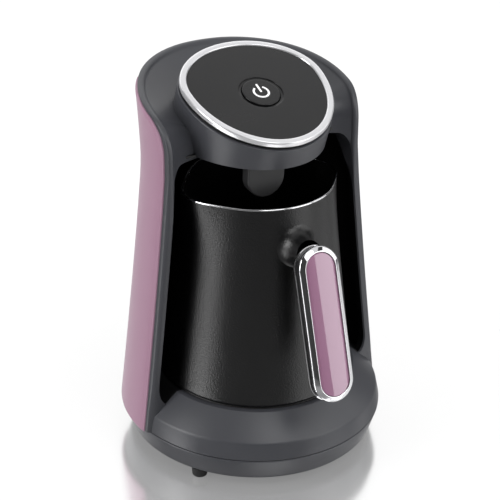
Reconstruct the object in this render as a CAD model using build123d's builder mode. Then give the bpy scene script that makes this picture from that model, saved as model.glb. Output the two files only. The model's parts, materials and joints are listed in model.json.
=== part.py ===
"""Electric turkish coffee maker: a round heated base, a half-round tower with two wings and a
tilted control head over the bay, and a two-spouted pot with an upright handle that draws out
to the front.

Millimetres. +Z up, the front (pot handle) faces -Y, X to the right seen from the front.
The origin lies on the table plane, in the middle of the footprint, pot handle included, so
the pot's own axis stands a little behind it, at pot_y.
"""

import os
from math import cos, exp, radians, sin, sqrt

from build123d import *

os.makedirs("parts", exist_ok=True)

# ------------------------------------------------------------------ driving dimensions
pot_y = 6.8  # the pot's axis, from the middle of the footprint

# The pot's foot sets the plate, the plate sets the base, and the base sets the body.
pot_bottom_r = 52.5
plate_r = pot_bottom_r - 1.9
plate_gap = 0.4
deck_top_r = plate_r + plate_gap + 3.4
shoulder_r = deck_top_r + 13.6
base_r = shoulder_r + 2.1  # at the seam between pan and deck

# Base: a lower pan on rubber feet and a conical deck on top of it, both round.
base_y = pot_y + 1.2
foot_height = 5.5
foot_r = 4.4
foot_ring_r = base_r - 9.1
foot_angle = 35.0  # each side of the X axis
pan_bottom_r = base_r - 3.9
seam_z = 18.8
seam_gap = 0.35
pan_wall = 2.2
pan_edge_r = 3.0
deck_wall = 2.2
shoulder_z = seam_z + 9.5
shoulder_round = 4.5
deck_top_z = shoulder_z + 11.7

# Hot plate and heater, on the pot's axis.
plate_top_z = deck_top_z + 0.2
plate_thickness = 3.0
ledge_width = 4.0
ledge_thickness = 1.6
element_ring_r = plate_r - 17.6
element_tube_r = 3.2
element_gap_angle = 40.0
terminal_length = 9.0
shield_lap = 2.4  # under the ledge
shield_hole_r = 14.0
shield_drop = 9.0  # below the plate's underside
shield_thickness = 0.8
thermostat_r = 8.5
thermostat_height = 9.5
strap_length = 54.0
strap_width = 9.0
strap_thickness = 1.0
fuse_r = 2.0
fuse_length = 14.0

# Body: round in plan at every height, waisted below the head and leaning back.
body_base_r = base_r + 2.8
body_waist_r = body_base_r - 14.6
body_crown_r = body_waist_r + 1.7
waist_z = 160.0
crown_z = 208.0
waist_power = 1.15
body_base_y = pot_y - 1.3
body_lean = 0.058
crown_lean = 0.07
crown_lean_z = 150.0
body_wall = 1.8
panel_thickness = 1.3
panel_setback = 0.9  # panel edge behind the wing's front face and below the collar's rim
panel_rear_y = pot_y + 47.0
panel_shift = 2.4  # and this much further behind the wing's front face

# Side view of the wings' front edges, the brow and the collar behind it.
wing_foot_y = pot_y - 14.8  # at table level
wing_brow_y = pot_y - 4.9
brow_z = 177.5
brow_r = 12.0
wing_band = 4.05  # front face of the wings and the collar, outside the cove
cove_depth = 4.2
collar_start_slope = 15.0
collar_r = 380.0
collar_turn = 10.0

# Bay that the pot stands in.
bay_low_z = 28.0
ceiling_z = 167.0
bay_low_r = body_base_r - 6.7
bay_high_r = body_waist_r - 6.3
bay_low_back = bay_low_r - 11.0  # flat back wall, behind the pot's axis
bay_high_back = bay_high_r - 5.5
bay_side_reach = 18.0  # round side walls run this far in front of the pot's axis
bay_back_corner = 9.0
bay_brow_corner = 6.5
bay_front = 130.0
liner_gap = 0.2
liner_wall = 1.2

# Control head: an egg-shaped drum, tilted to the front, through the collar.
head_y = pot_y + 1.9
head_z = 195.1
head_tilt = 19.0
egg_half_width = 37.6
egg_mid_y = 8.0  # where the egg is widest
egg_rear_reach = 32.5
egg_front_reach = 47.5
head_wall = 2.2
head_proud = 0.5  # drum wall outside the bezel
head_top_drop = 3.2  # from the panel's face down to the drum's upper edge
bezel_width = 3.0
bezel_rise = 1.0
bezel_skirt = 2.0
bezel_round = 0.9
panel_face_rise = 0.3
panel_face_thickness = 1.7
panel_gap = 0.1
carrier_inset = 1.3
carrier_thickness = 1.8
carrier_hole_r = 13.5
underside_thickness = 1.7

# Power button on the head.
button_r = 9.9
button_gap = 0.3
button_crown = 0.3
button_thickness = 2.2
button_travel = 1.2
flange_r = 11.6
flange_thickness = 0.9
stem_r = 2.6
dish_r = 12.4
dish_depth = 0.7
icon_r = 3.9
icon_stroke = 1.2
icon_gap_angle = 70.0
icon_depth = 0.6
bar_length = 4.6
board_drop = 12.0  # control board below the panel's face
board_thickness = 1.6
board_size = 42.0
board_post_r = 2.6
tact_size = 6.0
tact_height = 3.2
tact_stem_r = 1.7
spring_wire = 0.5
spring_r = 5.6
spring_turns = 3.0
buzzer_r = 6.0
buzzer_height = 5.5
led_size = 2.6

# Pot, on its own axis.
pot_bottom_z = plate_top_z + 0.3
pot_edge_r = 2.6
pot_rim_z = pot_bottom_z + 108.3
pot_rim_r = pot_bottom_r - 14.6
pot_wall = 1.4
pot_floor = 3.0
spout_start_z = 104.0
spout_reach = 6.2
spout_half_angle = 21.0
rim_arch_r = 560.0  # the rim falls away a little towards the spouts

# Overflow sensor: a round-nosed tongue under the head.
nose_x = -9.5
nose_face_y = pot_y - 20.0
nose_depth = 6.5
nose_r = 11.5
nose_bottom_z = pot_rim_z + 1.2
nose_wall = 1.5
window_size = 5.0

# Handle: a round boss on the pot's front and an upright grip.
boss_z = 128.0
boss_root_r = 9.6
boss_tip_r = 7.2
grip_tilt = 19.5
grip_face_y = pot_y - pot_bottom_r - 20.5  # middle of the grip's front face
grip_mid_z = 98.8
grip_length = 80.0
grip_width = 22.6
frame_band = 2.95
frame_depth = 2.8
core_inset = 0.9
core_depth = 3.6
trim_depth = 1.3
back_depth = 2.6
back_inset = 1.6
inlay_crown = 0.9
pot_draw_length = 150.0

# Electrics in the base.
power_board_z = 12.2
power_board_length = 62.0
power_board_width = 44.0
harness_r = 1.9
harness_wall_gap = 6.0  # from the cable to the tower's rear wall, at its top
harness_lean = 5.0  # further back at the bottom
plug_length = 11.0
plug_width = 6.0
plug_height = 4.4
plug_place = 15.0  # behind the middle of the control board
gland_z = seam_z - 6.6
gland_r = 5.2
gland_bore_r = 3.4

screw_r = 1.5
screw_head_r = 2.8
screw_head_height = 1.8
screw_length = 9.0
handle_screw_pitch = 6.0


# ------------------------------------------------------------------ shared geometry
def pot_side():
    """Vertical plane through the pot's axis: x to the right, y up."""
    return Plane(origin=(0, pot_y, 0), x_dir=(1, 0, 0), z_dir=(0, -1, 0))


def base_side():
    """Vertical plane through the base's axis: x to the right, y up."""
    return Plane(origin=(0, base_y, 0), x_dir=(1, 0, 0), z_dir=(0, -1, 0))


pot_axis = Axis((0, pot_y, 0), (0, 0, 1))
base_axis = Axis((0, base_y, 0), (0, 0, 1))


def head_plane(depth=0.0):
    """Plane of the head's face, tilted to the front, moved down by depth along its normal."""
    face = Plane(
        origin=(0, head_y, head_z),
        x_dir=(1, 0, 0),
        z_dir=(0, -sin(radians(head_tilt)), cos(radians(head_tilt))),
    )
    return face.offset(-depth)


head_axis = Axis(head_plane().origin, head_plane().z_dir)


def body_r(z):
    """Outer radius of the body at a height: wide at the base, narrowest at the waist."""
    if z < waist_z:
        share = (waist_z - z) / (waist_z - seam_z)
        return body_waist_r + (body_base_r - body_waist_r) * share**waist_power
    share = (z - waist_z) / (crown_z - waist_z)
    return body_waist_r + (body_crown_r - body_waist_r) * share**2


def body_y(z):
    """Centre of the body's round plan at a height."""
    return body_base_y + body_lean * (z - seam_z) + crown_lean * max(0.0, z - crown_lean_z)


def body_envelope(inset):
    """The body's outer form, full round, moved in by inset."""
    low_z = seam_z / 2
    stations = 5
    with BuildPart() as envelope:
        for step in range(stations + 1):
            z = low_z + (crown_z - low_z) * step / stations
            with BuildSketch(Plane.XY.offset(z)):
                with Locations((0, body_y(z))):
                    Circle(body_r(z) - inset)
        loft()
    return envelope.part


def side_block(inset):
    """All that lies behind the wings' front edges and below the collar, moved in by inset."""
    far_y = pot_y + body_base_r + 30
    with BuildPart() as block:
        with BuildSketch(Plane.YZ):
            with BuildLine():
                front = Line((wing_foot_y, 0), (wing_brow_y, brow_z))
                lean = 90 - front.tangent_angle_at(1)
                brow = JernArc(front @ 1, front % 1, brow_r, -(90 - lean - collar_start_slope))
                collar = JernArc(brow @ 1, brow % 1, collar_r, -collar_turn)
                Polyline(collar @ 1, (far_y, (collar @ 1).Y), (far_y, 0), front @ 0)
            make_face()
            if inset:
                offset(amount=-inset, kind=Kind.INTERSECTION, mode=Mode.REPLACE)
        extrude(amount=body_base_r + 10, both=True)
    return block.part


def cove_block(grow):
    """What the cove takes out of the body inside the band of the wings and the collar."""
    with BuildPart() as block:
        add(body_envelope(panel_thickness + wing_band - grow))
        add(side_block(cove_depth + grow), mode=Mode.SUBTRACT)
    return block.part


def bay_share(z):
    return (z - bay_low_z) / (ceiling_z - bay_low_z)


def bay_r(z):
    return bay_low_r + (bay_high_r - bay_low_r) * bay_share(z)


def bay_back(z):
    return bay_low_back + (bay_high_back - bay_low_back) * bay_share(z)


def bay_cavity(grow):
    """The bay: round side walls, a flat back wall, a level ceiling, open to the front."""
    with BuildPart() as cavity:
        for z in (bay_low_z, ceiling_z + grow):
            r = bay_r(z) + grow
            back = bay_back(z) + grow
            back_x = sqrt(r**2 - back**2)
            side_x = sqrt(r**2 - bay_side_reach**2)
            with BuildSketch(Plane((0, pot_y, z))) as outline:
                with BuildLine():
                    ThreePointArc((back_x, back), (r, 0), (side_x, -bay_side_reach))
                    Polyline(
                        (side_x, -bay_side_reach),
                        (side_x, -bay_front),
                        (-side_x, -bay_front),
                        (-side_x, -bay_side_reach),
                    )
                    ThreePointArc((-side_x, -bay_side_reach), (-r, 0), (-back_x, back))
                    Line((-back_x, back), (back_x, back))
                make_face()
                fillet(outline.vertices().group_by(Axis.Y)[-1], bay_back_corner + grow)
        loft(ruled=True)
        ceiling_edges = cavity.faces().sort_by(Axis.Z)[-1].edges().sort_by(Axis.Y)[1:]
        fillet(ceiling_edges, bay_brow_corner + grow)
    return cavity.part


def egg(grow=0.0):
    """Face outline of the head: a short half ellipse behind, a longer one in front."""
    half = egg_half_width + grow
    with BuildSketch() as outline:
        with BuildLine():
            EllipticalCenterArc((0, egg_mid_y), half, egg_rear_reach + grow, 0, arc_size=180)
            EllipticalCenterArc((0, egg_mid_y), half, egg_front_reach + grow, 180, arc_size=180)
        make_face()
    return outline.sketch


def egg_block(grow, top, bottom):
    """A prism of the egg outline between two depths below the head's face."""
    with BuildPart() as block:
        with BuildSketch(head_plane(bottom)):
            add(egg(grow))
        extrude(amount=bottom - top)
    return block.part


head_depth = 60.0  # deep enough to pass the ceiling everywhere


def level_slab(low, high, front=-200.0, rear=200.0):
    """A wide box between two heights, from front to rear."""
    with BuildPart() as slab:
        with Locations((0, (front + rear) / 2, (low + high) / 2)):
            Box(400, rear - front, high - low)
    return slab.part


def screw(length=screw_length):
    """A pan-head screw standing head down at the origin."""
    with BuildPart() as fastener:
        Cylinder(screw_head_r, screw_head_height, align=(Align.CENTER, Align.CENTER, Align.MIN))
        fillet(fastener.edges().group_by(Axis.Z)[0], screw_head_height / 3)
        Cylinder(screw_r, length, align=(Align.CENTER, Align.CENTER, Align.MIN))
        with Locations((0, 0, 0)):
            Box(screw_head_r, 0.6, 1.2, mode=Mode.SUBTRACT)
            Box(0.6, screw_head_r, 1.2, mode=Mode.SUBTRACT)
    return fastener.part


def wing_y(z):
    """Depth of the wings' front faces at a height."""
    return wing_foot_y + (wing_brow_y - wing_foot_y) * z / brow_z


deck_trim_y = wing_y(shoulder_z)  # behind this the deck goes inside the body shell
plate_under_z = plate_top_z - plate_thickness
ledge_under_z = plate_under_z - ledge_thickness
ledge_r = plate_r - ledge_width
shield_r = ledge_r + shield_lap
cable_top_z = ceiling_z + 9
harness_y = (
    body_y(cable_top_z)
    + body_r(cable_top_z)
    - panel_thickness
    - body_wall
    - harness_wall_gap
    - harness_r
)
pan_floor_z = foot_height + pan_wall


def deck_form():
    """The deck's outer form, filled, let into the body behind the wings' front edges."""
    low_z = seam_z + seam_gap
    with BuildPart() as form:
        with BuildSketch(base_side()) as half:
            with BuildLine():
                Polyline(
                    (0, low_z),
                    (base_r, low_z),
                    (shoulder_r, shoulder_z),
                    (deck_top_r, deck_top_z),
                    (0, deck_top_z),
                    close=True,
                )
            make_face()
            fillet(half.vertices().sort_by_distance((shoulder_r, shoulder_z))[0], shoulder_round)
        revolve(axis=base_axis)
    return form.part


def outside_body(clearance):
    """The space round the body shell's inner face, behind the wings' front edges."""
    with BuildPart() as outside:
        add(level_slab(foot_height, ceiling_z, front=deck_trim_y))
        add(body_envelope(panel_thickness + body_wall + clearance), mode=Mode.SUBTRACT)
    return outside.part


def head_space():
    """The room that the head's drum takes out of the body."""
    with BuildPart() as space:
        add(egg_block(head_proud, head_top_drop - 40, head_depth))
        add(level_slab(0, ceiling_z, rear=300), mode=Mode.SUBTRACT)
    return space.part


def power_icon():
    """Power symbol, its bar towards the back of the head."""
    with BuildSketch() as icon:
        Circle(icon_r + icon_stroke / 2)
        Circle(icon_r - icon_stroke / 2, mode=Mode.SUBTRACT)
        with BuildLine():
            reach = 2 * icon_r
            half = radians(icon_gap_angle / 2)
            Polyline((0, 0), (reach * sin(half), reach * cos(half)), (-reach * sin(half), reach * cos(half)), close=True)
        make_face(mode=Mode.SUBTRACT)
        with Locations((0, icon_r)):
            SlotOverall(bar_length, icon_stroke, rotation=90)
    return icon.sketch


# ------------------------------------------------------------------ base
foot_places = [foot_angle, 180 - foot_angle, 180 + foot_angle, -foot_angle]
screw_ring_r = base_r - 15
screw_angle = 45.0
gland_boss_r = gland_r + 1.2
gland_face_y = base_y + base_r + 0.2

with BuildPart() as base_lower_pan:
    with BuildSketch(base_side()) as half:
        with BuildLine():
            Polyline(
                (0, foot_height),
                (pan_bottom_r, foot_height),
                (base_r, seam_z),
                (0, seam_z),
                close=True,
            )
        make_face()
        fillet(half.vertices().sort_by_distance((pan_bottom_r, foot_height))[0], pan_edge_r)
    revolve(axis=base_axis)
    offset(amount=-pan_wall, openings=base_lower_pan.faces().sort_by(Axis.Z)[-1])
    # posts under the power board, and bosses for the screws that hold the deck
    with Locations((0, pot_y, pan_floor_z)):
        with GridLocations(power_board_length - 8, power_board_width - 8, 2, 2):
            Cylinder(2.6, power_board_z - pan_floor_z, align=(Align.CENTER, Align.CENTER, Align.MIN))
    with Locations((0, base_y, foot_height + pan_wall / 2)):
        with PolarLocations(screw_ring_r, 4, start_angle=screw_angle):
            Cylinder(4.4, seam_z - pan_floor_z, align=(Align.CENTER, Align.CENTER, Align.MIN))
    # flat boss and bore for the cord gland
    with BuildSketch(Plane.XZ.offset(-gland_face_y)):
        with Locations((0, gland_z)):
            Circle(gland_boss_r)
    extrude(amount=6)
    with BuildSketch(Plane.XZ.offset(-gland_face_y)):
        with Locations((0, gland_z)):
            Circle(gland_r)
    extrude(amount=12, mode=Mode.SUBTRACT)
    # screw bores, each with a recess for the head from below
    with Locations((0, base_y, foot_height)):
        with PolarLocations(screw_ring_r, 4, start_angle=screw_angle):
            Cylinder(screw_r + 0.2, 20, align=(Align.CENTER, Align.CENTER, Align.MIN), mode=Mode.SUBTRACT)
            Cylinder(
                screw_head_r + 0.4,
                screw_head_height + 1.4,
                align=(Align.CENTER, Align.CENTER, Align.MIN),
                mode=Mode.SUBTRACT,
            )
    # cooling slots in the floor
    with Locations((0, base_y, foot_height)):
        with PolarLocations(34, 12, start_angle=15):
            Box(16, 2.6, 3 * pan_wall, mode=Mode.SUBTRACT)
base_lower_pan.part.label = "base_lower_pan"
export_step(base_lower_pan.part, "parts/base_lower_pan.step")

with BuildPart() as rubber_feet:
    for angle in foot_places:
        x = foot_ring_r * cos(radians(angle))
        y = base_y + foot_ring_r * sin(radians(angle))
        with Locations((x, y, 0)):
            Cone(foot_r - 0.5, foot_r, foot_height, align=(Align.CENTER, Align.CENTER, Align.MIN))
    fillet(rubber_feet.edges().group_by(Axis.Z)[0], 0.9)
rubber_feet.part.label = "rubber_feet"
export_step(rubber_feet.part, "parts/rubber_feet.step")

with BuildPart() as base_screws:
    with Locations((0, base_y, foot_height + 1.2)):
        with PolarLocations(screw_ring_r, 4, start_angle=screw_angle):
            add(screw())
base_screws.part.label = "base_screws"
export_step(base_screws.part, "parts/base_screws.step")

with BuildPart() as cord_gland:
    with BuildSketch(Plane.XZ.offset(-gland_face_y)):
        with Locations((0, gland_z)):
            Circle(gland_r)
    extrude(amount=9)
    with BuildSketch(Plane.XZ.offset(-gland_face_y)):
        with Locations((0, gland_z)):
            Circle(gland_boss_r)
    extrude(amount=-1.2)
    with BuildSketch(Plane.XZ.offset(-gland_face_y)):
        with Locations((0, gland_z)):
            Circle(gland_bore_r)
    extrude(amount=12, both=True, mode=Mode.SUBTRACT)
cord_gland.part.label = "cord_gland"
export_step(cord_gland.part, "parts/cord_gland.step")

harness_slot_y = harness_y + harness_lean
skirt_wall = 1.6
skirt_depth = 3.0
skirt_r = base_r - pan_wall - skirt_wall - 1.3
with BuildPart() as base_deck:
    add(deck_form())
    offset(amount=-deck_wall, openings=base_deck.faces().sort_by(Axis.Z)[0])
    # well for the hot plate, with the ledge that it stands on
    with BuildSketch(pot_side()):
        with BuildLine():
            Polyline(
                (ledge_r, ledge_under_z),
                (plate_r + plate_gap + deck_wall, ledge_under_z),
                (plate_r + plate_gap + deck_wall, deck_top_z),
                (0, deck_top_z),
                (0, ledge_under_z),
                close=True,
            )
        make_face()
    revolve(axis=pot_axis)
    with Locations((0, pot_y, 0)):
        Cylinder(plate_r + plate_gap, 3 * deck_top_z, mode=Mode.SUBTRACT)
    with BuildSketch(pot_side()):
        with Locations(((ledge_r + plate_r + plate_gap) / 2, (ledge_under_z + plate_under_z) / 2)):
            Rectangle(plate_r + plate_gap - ledge_r, ledge_thickness)
    revolve(axis=pot_axis)
    # screw posts down to the pan's bosses
    with Locations((0, base_y, seam_z)):
        with PolarLocations(screw_ring_r, 4, start_angle=screw_angle):
            Cylinder(3.4, deck_top_z - seam_z - 3, align=(Align.CENTER, Align.CENTER, Align.MIN))
    add(deck_form(), mode=Mode.INTERSECT)
    # skirt that centres the deck in the pan
    with BuildSketch(base_side()):
        with BuildLine():
            Polyline(
                (skirt_r, seam_z - skirt_depth),
                (skirt_r, seam_z + skirt_depth),
                (base_r - deck_wall / 2, seam_z + skirt_depth),
                (base_r - deck_wall / 2, seam_z + seam_gap),
                (skirt_r + skirt_wall, seam_z + seam_gap),
                (skirt_r + skirt_wall, seam_z - skirt_depth),
                close=True,
            )
        make_face()
    revolve(axis=base_axis)
    with Locations((0, base_y, seam_z)):
        with PolarLocations(screw_ring_r, 4, start_angle=screw_angle):
            Cylinder(screw_r, 12, align=(Align.CENTER, Align.CENTER, Align.CENTER), mode=Mode.SUBTRACT)
    add(outside_body(0.15), mode=Mode.SUBTRACT)
    with Locations((0, gland_face_y, gland_z)):
        Box(3 * gland_r, 20, 15, mode=Mode.SUBTRACT)
    with Locations((0, harness_slot_y, deck_top_z)):
        Box(4 * harness_r + 2, 9, 30, mode=Mode.SUBTRACT)
base_deck.part.label = "base_deck"
export_step(base_deck.part, "parts/base_deck.step")

with BuildPart() as hot_plate:
    with Locations((0, pot_y, plate_under_z)):
        Cylinder(plate_r, plate_thickness, align=(Align.CENTER, Align.CENTER, Align.MIN))
    fillet(hot_plate.edges().group_by(Axis.Z)[-1], 0.8)
hot_plate.part.label = "hot_plate"
export_step(hot_plate.part, "parts/hot_plate.step")

element_z = plate_under_z - element_tube_r
with BuildPart() as heating_element:
    with Locations(Location((0, pot_y, element_z), (0, 0, element_gap_angle))):
        Torus(element_ring_r, element_tube_r, major_angle=360 - element_gap_angle)
    for angle in (0, element_gap_angle):
        x = element_ring_r * cos(radians(angle))
        y = pot_y + element_ring_r * sin(radians(angle))
        with Locations((x, y, element_z)):
            Sphere(element_tube_r)
            Cylinder(1.6, terminal_length, align=(Align.CENTER, Align.CENTER, Align.MAX))
heating_element.part.label = "heating_element"
export_step(heating_element.part, "parts/heating_element.step")

shield_z = plate_under_z - shield_drop
strap_stud_x = strap_length / 2 - 1.9
with BuildPart() as heat_shield:
    with BuildSketch(pot_side()):
        with BuildLine():
            Polyline(
                (shield_hole_r, shield_z),
                (shield_r, shield_z),
                (shield_r, ledge_under_z),
                (shield_r - shield_thickness, ledge_under_z),
                (shield_r - shield_thickness, shield_z + shield_thickness),
                (shield_hole_r, shield_z + shield_thickness),
                close=True,
            )
        make_face()
    revolve(axis=pot_axis)
    for angle in (0, element_gap_angle):
        x = element_ring_r * cos(radians(angle))
        y = pot_y + element_ring_r * sin(radians(angle))
        with Locations((x, y, shield_z)):
            Cylinder(3.2, 8, mode=Mode.SUBTRACT)
    for x in (-strap_stud_x, strap_stud_x):
        with Locations((x, pot_y, shield_z)):
            Cylinder(2.2, 8, mode=Mode.SUBTRACT)
heat_shield.part.label = "heat_shield"
export_step(heat_shield.part, "parts/heat_shield.step")

with BuildPart() as thermostat:
    with Locations((0, pot_y, plate_under_z)):
        Cylinder(thermostat_r, thermostat_height, align=(Align.CENTER, Align.CENTER, Align.MAX))
    fillet(thermostat.edges().group_by(Axis.Z)[0], 1.2)
thermostat.part.label = "thermostat"
export_step(thermostat.part, "parts/thermostat.step")

strap_z = plate_under_z - thermostat_height
with BuildPart() as thermostat_strap:
    with BuildSketch(Plane.XY.offset(strap_z - strap_thickness)):
        with Locations((0, pot_y)):
            SlotOverall(strap_length, strap_width)
    extrude(amount=strap_thickness)
    for x in (-strap_stud_x, strap_stud_x):
        with Locations((x, pot_y, strap_z)):
            Cylinder(1.3, thermostat_height, align=(Align.CENTER, Align.CENTER, Align.MIN))
thermostat_strap.part.label = "thermostat_strap"
export_step(thermostat_strap.part, "parts/thermostat_strap.step")

with BuildPart() as thermal_fuse:
    with Locations(Location((0, pot_y + 20, plate_under_z - fuse_r), (0, 90, 0))):
        Cylinder(fuse_r, fuse_length)
    fillet(thermal_fuse.edges(), 0.6)
thermal_fuse.part.label = "thermal_fuse"
export_step(thermal_fuse.part, "parts/thermal_fuse.step")

board_top_z = power_board_z + board_thickness
with BuildPart() as power_board:
    with Locations((0, pot_y, power_board_z)):
        Box(
            power_board_length,
            power_board_width,
            board_thickness,
            align=(Align.CENTER, Align.CENTER, Align.MIN),
        )
power_board.part.label = "power_board"
export_step(power_board.part, "parts/power_board.step")

with BuildPart() as relay:
    with Locations((-17, pot_y - 9, board_top_z)):
        Box(19, 15.5, 10.5, align=(Align.CENTER, Align.CENTER, Align.MIN))
    fillet(relay.edges().filter_by(Axis.Z), 0.8)
relay.part.label = "relay"
export_step(relay.part, "parts/relay.step")

with BuildPart() as board_parts:
    with Locations((12, pot_y - 10, board_top_z)):
        Box(16, 8, 9, align=(Align.CENTER, Align.CENTER, Align.MIN))
    with Locations((-19, pot_y + 11, board_top_z), (-9, pot_y + 11, board_top_z)):
        Cylinder(4, 9.5, align=(Align.CENTER, Align.CENTER, Align.MIN))
    with Locations((16, pot_y + 4, board_top_z)):
        Box(12, 9, 7, align=(Align.CENTER, Align.CENTER, Align.MIN))
board_parts.part.label = "board_parts"
export_step(board_parts.part, "parts/board_parts.step")

with BuildPart() as mains_terminal:
    with Locations((4, pot_y + 16, board_top_z)):
        Box(18, 9, 8, align=(Align.CENTER, Align.CENTER, Align.MIN))
    with Locations((4, pot_y + 20.5, board_top_z + 4)):
        with GridLocations(5, 1, 3, 1):
            Box(3, 4, 3, mode=Mode.SUBTRACT)
mains_terminal.part.label = "mains_terminal"
export_step(mains_terminal.part, "parts/mains_terminal.step")

# ------------------------------------------------------------------ tower
with BuildPart() as body_shell:
    add(body_envelope(panel_thickness))
    add(side_block(0), mode=Mode.INTERSECT)
    with BuildPart(mode=Mode.PRIVATE) as hollow:
        add(body_envelope(panel_thickness + body_wall))
        add(side_block(body_wall), mode=Mode.INTERSECT)
        add(cove_block(body_wall), mode=Mode.SUBTRACT)
    add(hollow.part, mode=Mode.SUBTRACT)
    add(cove_block(0), mode=Mode.SUBTRACT)
    add(bay_cavity(0), mode=Mode.SUBTRACT)
    add(head_space(), mode=Mode.SUBTRACT)
    add(level_slab(0, seam_z + seam_gap), mode=Mode.SUBTRACT)
    with BuildPart(mode=Mode.PRIVATE) as deck_room:
        add(deck_form())
        add(outside_body(0), mode=Mode.SUBTRACT)
    add(deck_room.part, mode=Mode.SUBTRACT)
body_shell.part.label = "body_shell"
export_step(body_shell.part, "parts/body_shell.step")

with BuildPart() as cavity_liner:
    add(bay_cavity(liner_gap + liner_wall))
    add(bay_cavity(liner_gap), mode=Mode.SUBTRACT)
    add(side_block(body_wall), mode=Mode.INTERSECT)
    add(body_envelope(panel_thickness + body_wall), mode=Mode.INTERSECT)
    with BuildPart(mode=Mode.PRIVATE) as cove_room:
        add(cove_block(body_wall))
        add(egg_block(head_proud, head_top_drop, head_depth), mode=Mode.SUBTRACT)
    add(cove_room.part, mode=Mode.SUBTRACT)
    add(deck_form(), mode=Mode.SUBTRACT)
cavity_liner.part.label = "cavity_liner"
export_step(cavity_liner.part, "parts/cavity_liner.step")


def panel_side():
    """Side outline of a coloured panel, clear of the wing's front face and the collar's rim."""
    with BuildPart() as side:
        with Locations((0, panel_shift, 0)):
            add(side_block(panel_setback))
        with Locations((0, panel_rear_y, 0)):
            Box(400, 200, 600, align=(Align.CENTER, Align.MIN, Align.CENTER), mode=Mode.SUBTRACT)
        add(level_slab(-10, seam_z), mode=Mode.SUBTRACT)
    return side.part


for side, sign in (("left", -1), ("right", 1)):
    with BuildPart() as side_panel:
        add(body_envelope(0))
        add(body_envelope(panel_thickness), mode=Mode.SUBTRACT)
        add(panel_side(), mode=Mode.INTERSECT)
        with Locations((sign * -200, 0, 0)):
            Box(400, 600, 600, mode=Mode.SUBTRACT)
    side_panel.part.label = f"side_panel_{side}"
    export_step(side_panel.part, f"parts/side_panel_{side}.step")

# ------------------------------------------------------------------ control head
under_join_y = wing_y(ceiling_z) + body_wall
cover_top_z = ceiling_z + liner_gap + underside_thickness
slot_half = 2.5 * harness_r
with BuildPart() as head_shell:
    add(egg_block(head_proud, head_top_drop, head_depth))
    add(egg_block(head_proud - head_wall, head_top_drop - 1, head_depth + 1), mode=Mode.SUBTRACT)
    add(level_slab(0, ceiling_z), mode=Mode.SUBTRACT)
    add(level_slab(0, cover_top_z + 0.1, front=under_join_y - 0.1), mode=Mode.SUBTRACT)
    # way through for the cable
    with Locations((0, head_y + egg_mid_y + egg_rear_reach - 1, ceiling_z)):
        Box(2 * slot_half, 60, 44, align=(Align.CENTER, Align.MIN, Align.CENTER), mode=Mode.SUBTRACT)
head_shell.part.label = "head_shell"
export_step(head_shell.part, "parts/head_shell.step")

with BuildPart() as head_underside_cover:
    add(egg_block(head_proud - head_wall - 0.1, 0, head_depth))
    add(level_slab(ceiling_z + 0.2, cover_top_z, rear=under_join_y - 0.1), mode=Mode.INTERSECT)
head_underside_cover.part.label = "head_underside_cover"
export_step(head_underside_cover.part, "parts/head_underside_cover.step")

carrier_top = panel_face_thickness + panel_face_rise
carrier_bottom = carrier_top + 1.2 + carrier_thickness
post_x = board_size / 2 - 4
with BuildPart() as head_carrier:
    add(egg_block(-carrier_inset, bezel_skirt, head_top_drop))
    add(egg_block(head_proud - head_wall - 0.1, head_top_drop, carrier_bottom))
    with BuildSketch(head_plane(board_drop)):
        with GridLocations(2 * post_x, 2 * post_x, 2, 2):
            Circle(board_post_r)
    extrude(amount=board_drop - carrier_bottom)
    with BuildSketch(head_plane(carrier_bottom)):
        Circle(carrier_hole_r)
    extrude(amount=carrier_bottom, mode=Mode.SUBTRACT)
    with BuildSketch(head_plane(board_drop)):
        with GridLocations(2 * post_x, 2 * post_x, 2, 2):
            Circle(1.1)
    extrude(amount=5, mode=Mode.SUBTRACT)
head_carrier.part.label = "head_carrier"
export_step(head_carrier.part, "parts/head_carrier.step")

with BuildPart() as chrome_bezel:
    add(egg_block(0, -bezel_rise, bezel_skirt))
    add(egg_block(-bezel_width, -bezel_rise - 1, bezel_skirt + 1), mode=Mode.SUBTRACT)
    face_top = chrome_bezel.faces().sort_by(head_axis)[-1]
    fillet(face_top.edges(), bezel_round)
chrome_bezel.part.label = "chrome_bezel"
export_step(chrome_bezel.part, "parts/chrome_bezel.step")

with BuildPart() as top_panel:
    add(egg_block(-bezel_width - panel_gap, -panel_face_rise, bezel_skirt))
    with BuildSketch(head_plane(bezel_skirt + 1)):
        Circle(button_r + button_gap)
    extrude(amount=10, mode=Mode.SUBTRACT)
    with BuildSketch(head_plane(dish_depth - panel_face_rise)):
        Circle(dish_r)
    extrude(amount=5, mode=Mode.SUBTRACT)
top_panel.part.label = "top_panel"
export_step(top_panel.part, "parts/top_panel.step")

cap_top = -panel_face_rise - button_crown
flange_top = bezel_skirt + 0.3
flange_bottom = flange_top + flange_thickness
stem_end = board_drop - tact_height - 1.6
icon_top = head_plane(cap_top)
with BuildPart() as button_cap:
    with BuildSketch(head_plane(flange_bottom)):
        Circle(button_r)
    extrude(amount=flange_bottom - cap_top)
    fillet(button_cap.edges().sort_by(head_axis)[-1], 0.4)
    with BuildSketch(head_plane(flange_bottom)):
        Circle(flange_r)
    extrude(amount=flange_thickness)
    with BuildSketch(head_plane(stem_end)):
        Circle(stem_r)
    extrude(amount=stem_end - flange_bottom)
    with BuildSketch(head_plane(cap_top + icon_depth)):
        add(power_icon())
    extrude(amount=2, mode=Mode.SUBTRACT)
button_cap.part.label = "button_cap"
export_step(button_cap.part, "parts/button_cap.step")

with BuildPart() as icon_lens:
    with BuildSketch(head_plane(cap_top + icon_depth)):
        add(power_icon())
    extrude(amount=icon_depth)
icon_lens.part.label = "icon_lens"
export_step(icon_lens.part, "parts/icon_lens.step")

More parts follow.
